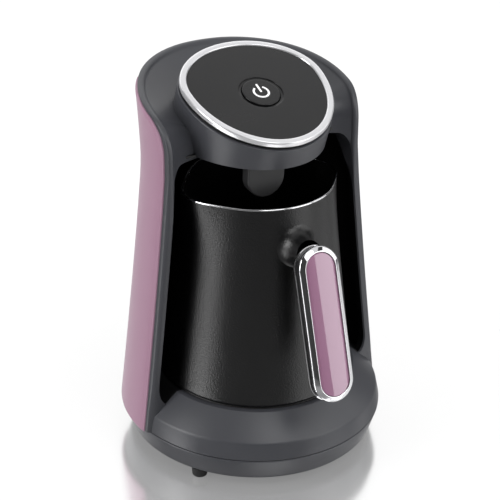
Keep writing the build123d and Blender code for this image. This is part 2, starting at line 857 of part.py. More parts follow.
with BuildPart() as tact_switch:
    with BuildSketch(head_plane(board_drop)):
        Rectangle(tact_size, tact_size)
    extrude(amount=tact_height)
    with BuildSketch(head_plane(board_drop - 1.2)):
        Circle(tact_stem_r + 0.15)
    extrude(amount=5, mode=Mode.SUBTRACT)
tact_switch.part.label = "tact_switch"
export_step(tact_switch.part, "parts/tact_switch.step")

with BuildPart() as tact_stem:
    with BuildSketch(head_plane(board_drop - tact_height + 0.4)):
        Circle(tact_stem_r)
    extrude(amount=1.9)
tact_stem.part.label = "tact_stem"
export_step(tact_stem.part, "parts/tact_stem.step")

with BuildPart() as button_spring:
    free_length = board_drop - flange_bottom - 2 * spring_wire
    start = head_plane(board_drop - spring_wire)
    with BuildLine():
        coil = Helix(
            free_length / spring_turns,
            free_length,
            spring_r,
            center=start.origin,
            direction=start.z_dir,
        )
    with BuildSketch(Plane(origin=coil @ 0, z_dir=coil % 0)):
        Circle(spring_wire)
    sweep(path=coil)
button_spring.part.label = "button_spring"
export_step(button_spring.part, "parts/button_spring.step")

with BuildPart() as control_board:
    with BuildSketch(head_plane(board_drop + board_thickness)):
        Rectangle(board_size, board_size)
        with GridLocations(2 * post_x, 2 * post_x, 2, 2):
            Circle(1.4, mode=Mode.SUBTRACT)
    extrude(amount=board_thickness)
control_board.part.label = "control_board"
export_step(control_board.part, "parts/control_board.step")

with BuildPart() as control_board_screws:
    for x in (-post_x, post_x):
        for y in (-post_x, post_x):
            with BuildSketch(head_plane(board_drop + board_thickness + 1.4)):
                with Locations((x, y)):
                    Circle(2.2)
            extrude(amount=1.4)
            with BuildSketch(head_plane(board_drop + board_thickness)):
                with Locations((x, y)):
                    Circle(1.1)
            extrude(amount=6)
control_board_screws.part.label = "control_board_screws"
export_step(control_board_screws.part, "parts/control_board_screws.step")

with BuildPart() as buzzer:
    with BuildSketch(head_plane(board_drop + board_thickness + buzzer_height)):
        with Locations((-12, 8)):
            Circle(buzzer_r)
            Circle(1.0, mode=Mode.SUBTRACT)
    extrude(amount=buzzer_height)
buzzer.part.label = "buzzer"
export_step(buzzer.part, "parts/buzzer.step")

with BuildPart() as indicator_led:
    with BuildSketch(head_plane(board_drop)):
        with Locations((8.5, 0)):
            Rectangle(led_size, led_size)
    extrude(amount=1.2)
    with BuildSketch(head_plane(board_drop - 1.2)):
        with Locations((8.5, 0)):
            Circle(led_size / 2 - 0.2)
    extrude(amount=1.0)
indicator_led.part.label = "indicator_led"
export_step(indicator_led.part, "parts/indicator_led.step")


def nose_block(inset, rear_inset):
    """The sensor tongue: round at its lower end, moved in by inset, up to the head's cover."""
    nose_plane = Plane.XZ.offset(-nose_face_y)
    with BuildPart() as block:
        with BuildSketch(nose_plane) as outline:
            with Locations((nose_x, nose_bottom_z + nose_r)):
                Circle(nose_r - inset)
            with Locations((nose_x, (nose_bottom_z + nose_r + ceiling_z + 0.2) / 2)):
                Rectangle(2 * (nose_r - inset), ceiling_z + 0.2 - nose_bottom_z - nose_r)
        extrude(amount=-nose_depth)
        add(level_slab(ceiling_z + 0.2, 300), mode=Mode.SUBTRACT)
        if rear_inset:
            add(level_slab(0, 300, rear=nose_face_y + inset), mode=Mode.SUBTRACT)
            add(level_slab(0, 300, front=nose_face_y + nose_depth - inset), mode=Mode.SUBTRACT)
    return block.part


with BuildPart() as sensor_nose:
    add(nose_block(0, 0))
    fillet(sensor_nose.edges().group_by(Axis.Y)[0].filter_by(GeomType.CIRCLE), 1.2)
    add(nose_block(nose_wall, 1), mode=Mode.SUBTRACT)
    with Locations((nose_x, nose_face_y + nose_depth / 2, nose_bottom_z)):
        Cylinder(window_size / 2 - 0.6, 12, mode=Mode.SUBTRACT)
sensor_nose.part.label = "sensor_nose"
export_step(sensor_nose.part, "parts/sensor_nose.step")

with BuildPart() as sensor_board:
    with Locations((nose_x, nose_face_y + nose_depth / 2, nose_bottom_z + 4.4)):
        Box(13, 1.6, 12, align=(Align.CENTER, Align.CENTER, Align.MIN))
sensor_board.part.label = "sensor_board"
export_step(sensor_board.part, "parts/sensor_board.step")

with BuildPart() as sensor_window:
    with Locations((nose_x, nose_face_y + nose_depth / 2, nose_bottom_z + 0.3)):
        Cylinder(window_size / 2 - 0.6, 2.6, align=(Align.CENTER, Align.CENTER, Align.MIN))
sensor_window.part.label = "sensor_window"
export_step(sensor_window.part, "parts/sensor_window.step")

cable_start = Vector(-16, pot_y + power_board_width / 2 - 2.5, board_top_z)
plug_plane = head_plane(board_drop + board_thickness)
plug_rear = (
    plug_plane.origin
    + plug_plane.y_dir * (plug_place + plug_width / 2)
    - plug_plane.z_dir * plug_height / 2
)
with BuildPart() as wire_harness:
    with BuildLine() as run:
        FilletPolyline(
            cable_start,
            cable_start + Vector(0, 0, 6),
            Vector(0, harness_slot_y, cable_start.Z + 6),
            Vector(0, harness_y, cable_top_z),
            Vector(0, plug_rear.Y + 12, plug_rear.Z + 1),
            plug_rear - plug_plane.y_dir * 2,
            radius=4,
        )
    with BuildSketch(Plane(origin=cable_start, z_dir=(0, 0, 1))):
        Circle(harness_r)
    sweep(path=run.line)
    with BuildSketch(plug_plane.offset(-plug_height)):
        with Locations((0, plug_place)):
            Rectangle(plug_length, plug_width)
    extrude(amount=plug_height)
wire_harness.part.label = "wire_harness"
export_step(wire_harness.part, "parts/wire_harness.step")

# ------------------------------------------------------------------ pot
pot_taper = (pot_bottom_r - pot_rim_r) / (pot_rim_z - pot_bottom_z)
outline_points = 36


def pot_outline(z, inset):
    """One level of the pot: round, drawn out to a lip at either side near the rim."""
    r = pot_bottom_r - pot_taper * (z - pot_bottom_z) - inset
    rise = max(0.0, (z - spout_start_z) / (pot_rim_z - spout_start_z))
    reach = spout_reach * rise**2.2
    points = []
    for step in range(outline_points):
        angle = 360 * step / outline_points
        off_lip = min(angle % 180, 180 - angle % 180)
        here = r + reach * exp(-((off_lip / spout_half_angle) ** 2))
        points.append((here * cos(radians(angle)), here * sin(radians(angle))))
    with BuildSketch(Plane((0, pot_y, z))) as outline:
        with BuildLine():
            Spline(*points, periodic=True)
        make_face()
    return outline.sketch


def pot_block(low_z, inset):
    """The pot's form, filled, from low_z to a little above the rim."""
    span = pot_rim_z + 2 - spout_start_z
    with BuildPart() as block:
        add(pot_outline(low_z, inset))
        add(pot_outline(spout_start_z, inset))
        loft(ruled=True)
        for share in (0, 0.3, 0.55, 0.8, 1):
            add(pot_outline(spout_start_z + share * span, inset))
        loft()
    return block.part


with BuildPart() as pot_body:
    add(pot_block(pot_bottom_z, 0))
    fillet(pot_body.edges().sort_by(Axis.Z)[0], pot_edge_r)
    add(pot_block(pot_bottom_z + pot_floor, pot_wall), mode=Mode.SUBTRACT)
    # rim arched along X
    with Locations(Location((0, pot_y, pot_rim_z - rim_arch_r), (90, 0, 0))):
        Cylinder(rim_arch_r, 200, mode=Mode.INTERSECT)
pot_body.part.label = "pot_body"
export_step(pot_body.part, "parts/pot_body.step")


def grip_plane(depth=0.0):
    """Plane of the grip's front face, moved towards the pot by depth."""
    tilt = radians(grip_tilt)
    face = Plane(
        origin=(0, grip_face_y, grip_mid_z),
        x_dir=(1, 0, 0),
        z_dir=(0, -cos(tilt), sin(tilt)),
    )
    return face.offset(-depth)


def pill(depth, thickness, inset):
    """A pill-shaped slab of the grip, its back at a depth behind the grip's front face."""
    with BuildPart() as slab:
        with BuildSketch(grip_plane(depth)):
            SlotOverall(grip_length - 2 * inset, grip_width - 2 * inset, rotation=90)
        extrude(amount=thickness)
    return slab.part


core_back = frame_depth + core_depth
trim_back = core_back + trim_depth
cover_back = core_back + trim_depth + back_depth
boss_on_grip = (boss_z - grip_mid_z) / cos(radians(grip_tilt)) + 1.5

with BuildPart() as handle_frame:
    add(pill(frame_depth, frame_depth, 0))
    add(pill(frame_depth + 1, frame_depth + 3, frame_band), mode=Mode.SUBTRACT)
    front = handle_frame.faces().sort_by(Axis(grip_plane().origin, grip_plane().z_dir))[-1]
    fillet(front.edges(), 0.6)
handle_frame.part.label = "handle_frame"
export_step(handle_frame.part, "parts/handle_frame.step")

inlay_half = grip_width / 2 - frame_band - 0.1
crown_r = (inlay_half**2 + inlay_crown**2) / (2 * inlay_crown)
crown_low = 0.4
with BuildPart() as handle_inlay:
    add(pill(frame_depth, frame_depth + inlay_crown, frame_band + 0.1))
    with Locations(grip_plane(crown_r + crown_low - inlay_crown).location * Location((0, 0, 0), (90, 0, 0))):
        Cylinder(crown_r, 2 * grip_length, mode=Mode.INTERSECT)
handle_inlay.part.label = "handle_inlay"
export_step(handle_inlay.part, "parts/handle_inlay.step")

with BuildPart() as handle_core:
    add(pill(core_back, core_depth, core_inset))
    with BuildSketch(grip_plane(core_back)):
        with Locations((0, boss_on_grip)):
            with GridLocations(handle_screw_pitch, 1, 2, 1):
                Circle(screw_r + 0.2)
    extrude(amount=core_depth, mode=Mode.SUBTRACT)
    with BuildSketch(grip_plane(frame_depth + screw_head_height + 0.2)):
        with Locations((0, boss_on_grip)):
            with GridLocations(handle_screw_pitch, 1, 2, 1):
                Circle(screw_head_r + 0.3)
    extrude(amount=core_depth, mode=Mode.SUBTRACT)
handle_core.part.label = "handle_core"
export_step(handle_core.part, "parts/handle_core.step")

with BuildPart() as handle_back_trim:
    add(pill(trim_back, trim_depth, 0))
    add(pill(trim_back + 1, trim_depth + 2, frame_band), mode=Mode.SUBTRACT)
handle_back_trim.part.label = "handle_back_trim"
export_step(handle_back_trim.part, "parts/handle_back_trim.step")

with BuildPart() as handle_back_cover:
    add(pill(cover_back, cover_back - core_back, frame_band))
    back = handle_back_cover.faces().sort_by(Axis(grip_plane().origin, grip_plane().z_dir))[0]
    fillet(back.edges(), back_depth - 0.6)
    with BuildSketch(grip_plane(cover_back)):
        with Locations((0, boss_on_grip)):
            with GridLocations(handle_screw_pitch, 1, 2, 1):
                Circle(screw_r + 0.2)
    extrude(amount=cover_back - core_back, mode=Mode.SUBTRACT)
handle_back_cover.part.label = "handle_back_cover"
export_step(handle_back_cover.part, "parts/handle_back_cover.step")

with BuildPart() as handle_boss:
    near_y = pot_y - pot_rim_r + 4
    far_y = grip_face_y
    wall_y = pot_y - (pot_bottom_r - pot_taper * (boss_z - pot_bottom_z))
    with BuildSketch(Plane.YZ):
        with BuildLine():
            flare = Spline(
                (wall_y + 1, boss_z + boss_root_r + 2),
                (wall_y - 5, boss_z + boss_tip_r + 0.5),
                (wall_y - 12, boss_z + boss_tip_r),
                tangents=((-0.5, -1), (-1, 0)),
            )
            Polyline(
                flare @ 1,
                (far_y, boss_z + boss_tip_r),
                (far_y, boss_z),
                (near_y, boss_z),
                (near_y, boss_z + boss_root_r + 2),
                flare @ 0,
            )
        make_face()
    revolve(axis=Axis((0, 0, boss_z), (0, 1, 0)))
    add(pot_block(pot_bottom_z, 0), mode=Mode.SUBTRACT)
    with BuildSketch(grip_plane(cover_back)):
        Rectangle(200, 200)
    extrude(amount=40, mode=Mode.SUBTRACT)
    with BuildSketch(grip_plane(cover_back + 8)):
        with Locations((0, boss_on_grip)):
            with GridLocations(handle_screw_pitch, 1, 2, 1):
                Circle(screw_r)
    extrude(amount=20, mode=Mode.SUBTRACT)
handle_boss.part.label = "handle_boss"
export_step(handle_boss.part, "parts/handle_boss.step")

with BuildPart() as handle_screws:
    seat = grip_plane(frame_depth + screw_head_height + 0.2)
    for x in (-handle_screw_pitch / 2, handle_screw_pitch / 2):
        with BuildSketch(seat):
            with Locations((x, boss_on_grip)):
                Circle(screw_head_r)
        extrude(amount=screw_head_height)
        with BuildSketch(grip_plane(cover_back + 6)):
            with Locations((x, boss_on_grip)):
                Circle(screw_r)
        extrude(amount=cover_back + 6 - frame_depth - screw_head_height - 0.2)
handle_screws.part.label = "handle_screws"
export_step(handle_screws.part, "parts/handle_screws.step")
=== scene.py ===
# %% [markdown]
# # An electric coffee maker for foamy coffee, dressed over its CAD frame
# The CAD frame gives every size and every joint. This lesson gives it its looks: a satin grey
# body with a curved collar, mauve side panels, a tilted control head with a silver bezel, and a
# black coated pot whose grip is a crowned pill. Every length below is in millimetres and is
# turned into metres in one place, so the numbers can be read beside a drawing.

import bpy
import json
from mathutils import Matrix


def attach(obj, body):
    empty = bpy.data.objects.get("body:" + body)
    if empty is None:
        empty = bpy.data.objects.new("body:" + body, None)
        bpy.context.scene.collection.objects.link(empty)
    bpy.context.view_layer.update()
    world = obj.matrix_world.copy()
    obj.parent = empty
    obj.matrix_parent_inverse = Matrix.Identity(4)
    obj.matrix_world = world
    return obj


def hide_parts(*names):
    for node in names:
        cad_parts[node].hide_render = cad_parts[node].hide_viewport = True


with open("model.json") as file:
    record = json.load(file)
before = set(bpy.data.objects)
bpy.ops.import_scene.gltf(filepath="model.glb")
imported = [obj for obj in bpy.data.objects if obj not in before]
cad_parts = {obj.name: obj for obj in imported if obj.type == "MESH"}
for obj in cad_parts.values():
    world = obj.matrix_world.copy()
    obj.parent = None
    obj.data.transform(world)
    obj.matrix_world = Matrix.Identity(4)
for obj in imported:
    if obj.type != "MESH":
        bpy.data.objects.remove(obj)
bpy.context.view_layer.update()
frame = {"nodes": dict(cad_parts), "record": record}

import json
from math import acos, asin, atan2, cos, exp, hypot, pi, radians, sin, sqrt, tan

import bmesh
import bpy
from mathutils import Matrix, Vector

# %% [markdown]
# ## Helpers: a skin of loops, and a sheet of rows
# Nearly every shell here is either a stack of closed outlines, such as a drum, a pot or a pill,
# or a four-sided sheet. The first is modelled as by hand: add a circle, then extrude its edge
# loop again and again, placing each new loop. The second starts as a grid whose points are
# placed. A modelling helper keeps the steps the same, so the pieces differ only in outlines.

# %% Selecting in edit mode
MM = 0.001


def deselect():
    """Nothing selected, object mode."""
    if bpy.context.object and bpy.context.object.mode != "OBJECT":
        bpy.ops.object.mode_set(mode="OBJECT")
    bpy.ops.object.select_all(action="DESELECT")


def only(obj):
    """Select one object and make it active."""
    deselect()
    obj.select_set(True)
    bpy.context.view_layer.objects.active = obj


def edit_mesh(obj, select_mode="VERT"):
    """Into edit mode on one object, nothing selected; returns its edit mesh."""
    only(obj)
    bpy.ops.object.mode_set(mode="EDIT")
    bpy.ops.mesh.select_mode(type=select_mode)
    bpy.ops.mesh.select_all(action="DESELECT")
    mesh = bmesh.from_edit_mesh(obj.data)
    mesh.verts.ensure_lookup_table()
    return mesh


def select_points(obj, wanted):
    """Select vertices by index in edit mode."""
    bpy.ops.mesh.select_all(action="DESELECT")
    mesh = bmesh.from_edit_mesh(obj.data)
    mesh.verts.ensure_lookup_table()
    for index in wanted:
        mesh.verts[index].select = True
    mesh.select_flush_mode()
    bmesh.update_edit_mesh(obj.data)

# %% [markdown]
# A finished mesh is shaded smooth, and its edges stay crisp where faces turn more than an angle.
# Its normals are turned outwards after close points are merged, because an extrusion or a spin
# can leave them inside out.

# %% Shells and sheets
def smooth(obj, angle=35):
    """Smooth shading with crisp edges where faces turn more than the angle."""
    only(obj)
    bpy.ops.object.shade_smooth_by_angle(angle=radians(angle))


def settle(obj, angle=35, merge=0.0):
    """Merge close points if asked, turn the normals outwards and shade smoothly."""
    bpy.ops.mesh.select_all(action="SELECT")
    if merge:
        bpy.ops.mesh.remove_doubles(threshold=merge * MM)
    bpy.ops.mesh.normals_make_consistent(inside=False)
    bpy.ops.object.mode_set(mode="OBJECT")
    smooth(obj, angle)
    return obj


def circle(name, count):
    """A new wire circle, whose points are placed afterwards."""
    deselect()
    bpy.ops.mesh.primitive_circle_add(vertices=count, radius=MM, fill_type="NOTHING")
    obj = bpy.context.object
    obj.name = obj.data.name = name
    return obj


def skin(name, loops, cap_first=False, cap_last=False, angle=35):
    """A tube through closed loops of points in mm, its ends filled if asked."""
    count = len(loops[0])
    obj = circle(name, count)
    mesh = edit_mesh(obj)
    ring = list(range(count))
    for index, point in zip(ring, loops[0]):
        mesh.verts[index].co = Vector(point) * MM
    if cap_first:
        select_points(obj, ring)
        bpy.ops.mesh.edge_face_add()
    for loop in loops[1:]:
        select_points(obj, ring)
        bpy.ops.mesh.extrude_edges_move()
        mesh = bmesh.from_edit_mesh(obj.data)
        mesh.verts.index_update()
        mesh.verts.ensure_lookup_table()
        before = set(ring)
        follows = {}
        for vert in mesh.verts[-count:]:
            for edge in vert.link_edges:
                other = edge.other_vert(vert)
                if other.index in before:
                    follows[other.index] = vert.index
        ring = [follows[index] for index in ring]
        for index, point in zip(ring, loop):
            mesh.verts[index].co = Vector(point) * MM
        bmesh.update_edit_mesh(obj.data)
    if cap_last:
        select_points(obj, ring)
        bpy.ops.mesh.edge_face_add()
    return settle(obj, angle)


def sheet(name, rows, angle=35):
    """A four-sided sheet through rows of points in mm."""
    deselect()
    across = len(rows[0])
    bpy.ops.mesh.primitive_grid_add(
        x_subdivisions=across - 1, y_subdivisions=len(rows) - 1, size=MM
    )
    obj = bpy.context.object
    obj.name = obj.data.name = name
    for row, points in enumerate(rows):
        for column, point in enumerate(points):
            obj.data.vertices[row * across + column].co = Vector(point) * MM
    obj.data.update()
    smooth(obj, angle)
    return obj

# %% [markdown]
# Sheets that share an edge are joined and their doubled points merged, so one moulding is one
# mesh. A finished piece then gets its finish and the body it rides on, and the CAD nodes that it
# stands for are hidden.

# %% Joining and finishing
def join(pieces, name):
    """Join pieces into one object."""
    deselect()
    for piece in pieces:
        piece.select_set(True)
    bpy.context.view_layer.objects.active = pieces[0]
    if len(pieces) > 1:
        bpy.ops.object.join()
    obj = bpy.context.object
    obj.name = obj.data.name = name
    return obj


def weld(pieces, name, angle=35, distance=0.004):
    """Join pieces, merge the points they share and turn all faces outwards."""
    obj = join(pieces, name)
    edit_mesh(obj)
    return settle(obj, angle, distance)


def face_away(obj, middle):
    """Turn an open sheet's faces so that they look away from a point in mm."""
    middle = Vector(middle) * MM
    lean = sum((f.center - middle).dot(f.normal) * f.area for f in obj.data.polygons)
    if lean < 0:
        edit_mesh(obj)
        bpy.ops.mesh.select_all(action="SELECT")
        bpy.ops.mesh.flip_normals()
        bpy.ops.object.mode_set(mode="OBJECT")


def finish_piece(obj, body, slot_name, *nodes, material=None):
    """Body to ride on, the CAD nodes it stands for, which are hidden, and the slot's or its own
    finish.
    """
    obj.data.materials.clear()
    obj.data.materials.append(material or by_slot[slot_name])
    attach(obj, body)
    if nodes:
        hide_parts(*nodes)
    print(obj.name, len(obj.data.polygons), "faces")


# %% [markdown]
# A ring of metal is a skin whose last loop is its first, so the two are merged.

# %% Closed ring helper
def closed_skin(name, loops):
    """A skin whose first and last loops are the same, merged."""
    return weld([skin(name, loops)], name, distance=0.002)


# %% [markdown]
# ## Sizes shared with the CAD frame
# The frame's own drawing decides these numbers. The body is round in plan at every height, but
# its radius shrinks to a waist and its centre leans back, so the outline is a function of
# height. The wings and the collar are cut along a side profile: a straight leaning line, a small
# brow arc and a long shallow arc. Writing both as functions lets every edge be placed exactly.

# %% Sizes
POT_Y = 6.8
BASE_Y = POT_Y + 1.2
SEAM_Z = 18.8
CEILING_Z = 167.0
HEAD_Y = POT_Y + 1.9
HEAD_Z = 195.1
TILT = radians(19)
WING_FOOT_Y = POT_Y - 14.8
WING_BROW_Y = POT_Y - 4.9
CORNER_Z = 177.5
LEAN = atan2(WING_BROW_Y - WING_FOOT_Y, CORNER_Z)
COLLAR_R = 380.0
COLLAR_SLOPE = radians(15)
DRAWN_BROW_R = 12.0
BROW_R = 19.0
LEVEL_BEHIND = radians(5)
WAIST_Z, WAIST_R = 160.0, 58.3
SKIRT_FLARE, SKIRT_CURVE = 14.6, 1.15
CROWN_FLARE, CROWN_HIGH = 1.7, 48.0
BODY_SET, BODY_LEAN = -1.3, 0.058
BEND_Z, BEND_LEAN = 150.0, 0.07


def brow_middle(radius):
    """Middle of the arc of a radius that leaves the wing's front line at its upper end."""
    return (
        WING_BROW_Y + radius * cos(LEAN),
        CORNER_Z - radius * sin(LEAN),
    )


drawn_y, drawn_z = brow_middle(DRAWN_BROW_R)
COLLAR_Y = drawn_y + (COLLAR_R - DRAWN_BROW_R) * sin(COLLAR_SLOPE)
COLLAR_Z = drawn_z - (COLLAR_R - DRAWN_BROW_R) * cos(COLLAR_SLOPE)

# the rounder brow slides down the wing's line until it touches the collar's arc from inside
start_y, start_z = brow_middle(BROW_R)
gap_y, gap_z = start_y - COLLAR_Y, start_z - COLLAR_Z
along = gap_y * sin(LEAN) + gap_z * cos(LEAN)
slide = sqrt(along**2 - gap_y**2 - gap_z**2 + (COLLAR_R - BROW_R) ** 2) - along
BROW_Y = start_y + slide * sin(LEAN)
BROW_Z = start_z + slide * cos(LEAN)
BROW_TURN = pi / 2 - asin((COLLAR_Y - BROW_Y) / (COLLAR_R - BROW_R))


def body_r(z):
    """Outer radius of the body at a height."""
    if z < WAIST_Z:
        return WAIST_R + SKIRT_FLARE * ((WAIST_Z - z) / (WAIST_Z - SEAM_Z)) ** SKIRT_CURVE
    return WAIST_R + CROWN_FLARE * ((z - WAIST_Z) / CROWN_HIGH) ** 2


def body_y(z):
    """Middle of the body's plan at a height."""
    return POT_Y + BODY_SET + BODY_LEAN * (z - SEAM_Z) + BEND_LEAN * max(0.0, z - BEND_Z)


def wing_y(z):
    """Depth of the wings' front edges at a height."""
    return WING_FOOT_Y + z * tan(LEAN)


def on_body(y, z, inset, side):
    """The point of the inset body at a depth and a height, on the left (-1) or right (1)."""
    reach = (body_r(z) - inset) ** 2 - (y - body_y(z)) ** 2
    return (side * sqrt(max(0.0, reach)), y, z)


def round_body(around, z, inset=0.0):
    """The point of the inset body at a signed angle from the back and a height."""
    r = body_r(z) - inset
    return (r * sin(around), body_y(z) + r * cos(around), z)


def around_back(point):
    """Signed angle of a point from the back, round the body."""
    return atan2(point[0], point[1] - body_y(point[2]))


def collar_z(y, setback=0.0):
    """Height of the collar at a depth."""
    r = COLLAR_R - setback
    last = COLLAR_Y - r * sin(LEVEL_BEHIND)
    return COLLAR_Z + sqrt(r**2 - (min(y, last) - COLLAR_Y) ** 2)


def wing_top(setback=0.0):
    """Height at which the wing's front line ends and the brow begins."""
    return BROW_Z + (BROW_R - setback) * sin(LEAN)


def wing_point(z, setback, inset, side, shift=0.0):
    """A point of the wing's front edge, set back and inset; shift moves the whole outline."""
    return on_body(wing_y(z) + setback / cos(LEAN) + shift, z, inset, side)


def brow_point(share, setback, inset, side, shift=0.0):
    """A point of the brow's arc, from the wing (0) to the collar (1)."""
    turn = LEAN + (BROW_TURN - LEAN) * share
    r = BROW_R - setback
    return on_body(BROW_Y - r * cos(turn) + shift, BROW_Z + r * sin(turn), inset, side)


def head_point(x, s, depth):
    """A point of the head: across, up the tilted face, and down below it."""
    return (
        x,
        HEAD_Y + s * cos(TILT) + depth * sin(TILT),
        HEAD_Z + s * sin(TILT) - depth * cos(TILT),
    )


print("brow ends at", round(BROW_Z, 2), "collar at", round(collar_z(73.7), 2))

# %% [markdown]
# ## Finishes
# Moulded plastic is never one flat colour: it has a fine spark-eroded grain, a slight mottle and
# a little gloss change where hands touch it. Those are shared node groups with named inputs, so
# that each finish places them with its own values. The groups only put out heights, masks and
# colours; the shader stays in the material, and constants sit on the shader's own sockets.

# %% Shared node groups
def new_group(name, outputs, **inputs):
    """A shader node group with float sockets; an underscore stands for a blank."""
    group = bpy.data.node_groups.new(name, "ShaderNodeTree")
    for label, value in inputs.items():
        socket = group.interface.new_socket(
            label.replace("_", " "), in_out="INPUT", socket_type="NodeSocketFloat"
        )
        socket.default_value = value
    for label in outputs:
        group.interface.new_socket(label, in_out="OUTPUT", socket_type="NodeSocketFloat")
    return group, group.nodes.new("NodeGroupInput"), group.nodes.new("NodeGroupOutput")


def plug(tree, sockets, values):
    """Feed sockets with numbers, colours or other nodes' outputs."""
    for socket, value in zip(sockets, values):
        if isinstance(value, bpy.types.NodeSocket):
            tree.links.new(value, socket)
        else:
            socket.default_value = value


def plug_named(tree, node, values):
    """Feed a node's inputs by name; an underscore stands for a blank."""
    plug(tree, [node.inputs[label.replace("_", " ")] for label in values], values.values())


def add(tree, kind, *ordered, group=None, **named):
    """A shader node whose inputs are fed in order or by name."""
    node = tree.nodes.new("ShaderNode" + kind)
    if group:
        node.node_tree = group
    plug(tree, node.inputs, ordered)
    plug_named(tree, node, named)
    return node


def math_node(tree, operation, *values):
    """The result of a math node on outputs or numbers."""
    node = add(tree, "Math", *values)
    node.operation = operation
    return node.outputs[0]


grain_group, start, end = new_group(
    "moulded grain", ("Height", "Mottle"), Grain_size=900.0, Mottle_size=40.0, Mottle_share=0.25
)
place = add(grain_group, "TexCoord").outputs["Object"]
noise = []
for size, detail in (("Grain size", 2.0), ("Mottle size", 4.0)):
    node = add(
        grain_group, "TexNoise", Vector=place, Scale=start.outputs[size], Detail=detail
    )
    noise.append(node.outputs["Fac"])
fine, broad = noise
broad_share = start.outputs["Mottle share"]
fine_share = math_node(grain_group, "SUBTRACT", 1.0, broad_share)
height = math_node(
    grain_group, "ADD",
    math_node(grain_group, "MULTIPLY", fine, fine_share),
    math_node(grain_group, "MULTIPLY", broad, broad_share),
)
plug(grain_group, end.inputs, (height, broad))

range_group, start, end = new_group("value between", ["Value"], Mask=0.5, Low=0.3, High=0.4)
span = add(
    range_group, "MapRange", Value=start.outputs["Mask"], From_Min=0.3, From_Max=0.7,
    To_Min=start.outputs["Low"], To_Max=start.outputs["High"],
)
plug(range_group, end.inputs, span.outputs[:1])


# %% [markdown]
# A finish is then one function call: two close colours that the mottle mixes, a roughness range,
# and how deep the grain is. Metals use the same helper with the metallic socket set.

# %% Finish helper
def linear(colour):
    """Scene-linear colour from 0-255 sRGB."""
    out = []
    for part in colour:
        part = part / 255
        out.append(part / 12.92 if part <= 0.04045 else ((part + 0.055) / 1.055) ** 2.4)
    return (*out, 1.0)


def finish(name, colour, second, rough, grain=900, depth=0.1, mottle=40, share=0.25, **sockets):
    """Mottled colour, varying roughness and a grain bump whose depth is in tenths of a mm."""
    material = bpy.data.materials.new(name)
    material.use_nodes = True
    tree = material.node_tree
    pattern = add(
        tree, "Group", group=grain_group,
        Grain_size=grain, Mottle_size=mottle, Mottle_share=share,
    ).outputs
    mix = add(tree, "Mix")
    mix.data_type = "RGBA"
    blend = {"Factor": pattern["Mottle"], "A": linear(colour), "B": linear(second)}
    plug_named(tree, mix, blend)
    low, high = rough
    ranged = add(tree, "Group", group=range_group, Mask=pattern["Mottle"], Low=low, High=high)
    bump = add(tree, "Bump", Strength=1.0, Distance=depth * 0.0001, Height=pattern["Height"])
    sockets["Base_Color"] = mix.outputs["Result"]
    sockets["Roughness"] = ranged.outputs["Value"]
    sockets["Normal"] = bump.outputs["Normal"]
    plug_named(tree, tree.nodes["Principled BSDF"], sockets)
    return material

# %% [markdown]
# Each slot of the frame's record has one finish. The plastics differ mostly in how rough they
# are, and three pieces have a finish of their own: the sensor's tongue, the paler inlay of the
# grip and the silver bezel. The CAD nodes get their slots' finishes too.

# %% Finishes of the slots
by_slot = {
    "grey_plastic": finish(
        "satin grey plastic", (69, 70, 75), (72, 73, 78), (0.34, 0.40), depth=0.18, share=0.1
    ),
    "black_plastic": finish(
        "satin black plastic", (15, 15, 16), (19, 19, 20), (0.38, 0.46), depth=0.3
    ),
    "mauve_plastic": finish(
        "mauve lacquer", (173, 135, 156), (175, 137, 158), (0.4, 0.42), grain=2600,
        depth=0.02, share=0.0, Specular_IOR_Level=0.1, Coat_Weight=0.35, Coat_Roughness=0.04,
    ),
    "chrome_trim": finish(
        "polished trim", (238, 238, 240), (232, 232, 235), (0.05, 0.06), grain=300,
        depth=0.0, Metallic=1.0,
    ),
    "panel_gloss": finish(
        "control panel", (24, 24, 25), (27, 27, 28), (0.24, 0.28), grain=1500, depth=0.02,
        Specular_IOR_Level=0.35, Coat_Weight=0.1, Coat_Roughness=0.12,
    ),
    # painted light: the symbol glows faintly with its own light, though it is no lamp
    "icon_white": finish(
        "icon lens", (238, 238, 240), (244, 244, 246), (0.3, 0.35), grain=1200, depth=0.05,
        Emission_Color=(1, 1, 1, 1), Emission_Strength=0.35,
    ),
    "pot_coating": finish(
        "coated pot metal", (7, 7, 8), (10, 10, 11), (0.28, 0.32), grain=1300, depth=1.6,
        mottle=60, share=0.05, Specular_IOR_Level=0.6,
    ),
    "plate_metal": finish("plate coating", (38, 38, 39), (46, 45, 44), (0.42, 0.5), depth=0.2),
    "steel": finish(
        "bare steel", (165, 165, 168), (180, 180, 183), (0.28, 0.36), grain=500, Metallic=1.0
    ),
    "aluminium": finish(
        "sheet aluminium", (190, 190, 192), (205, 205, 207), (0.34, 0.42), grain=400,
        Metallic=1.0,
    ),
    "ceramic": finish("ceramic body", (225, 217, 196), (232, 225, 208), (0.3, 0.4)),
    "board_green": finish("board mask", (22, 92, 50), (28, 102, 58), (0.3, 0.36), grain=500),
    "component_black": finish(
        "moulded components", (30, 30, 32), (38, 38, 40), (0.4, 0.5), depth=0.2
    ),
    "rubber_black": finish("foot rubber", (26, 26, 27), (33, 33, 34), (0.6, 0.72), depth=0.6),
    "cable_black": finish("cable sleeve", (24, 24, 26), (30, 30, 32), (0.45, 0.55), depth=0.2),
    "lens_dark": finish(
        "dark window", (24, 8, 10), (30, 10, 12), (0.08, 0.12), grain=300, depth=0.01
    ),
}
nose_black = finish("sensor tongue plastic", (36, 36, 37), (40, 40, 41), (0.36, 0.42))
inlay_mauve = finish(
    "mauve inlay", (172, 122, 153), (174, 124, 155), (0.3, 0.34),
    grain=2600, depth=0.01, share=0.0, Coat_Weight=1.0, Coat_Roughness=0.02, Coat_IOR=1.8,
)
bezel_trim = finish(
    "satin silver trim", (240, 240, 242), (236, 236, 239), (0.2, 0.24), grain=300, depth=0.01,
    Metallic=0.55,
)
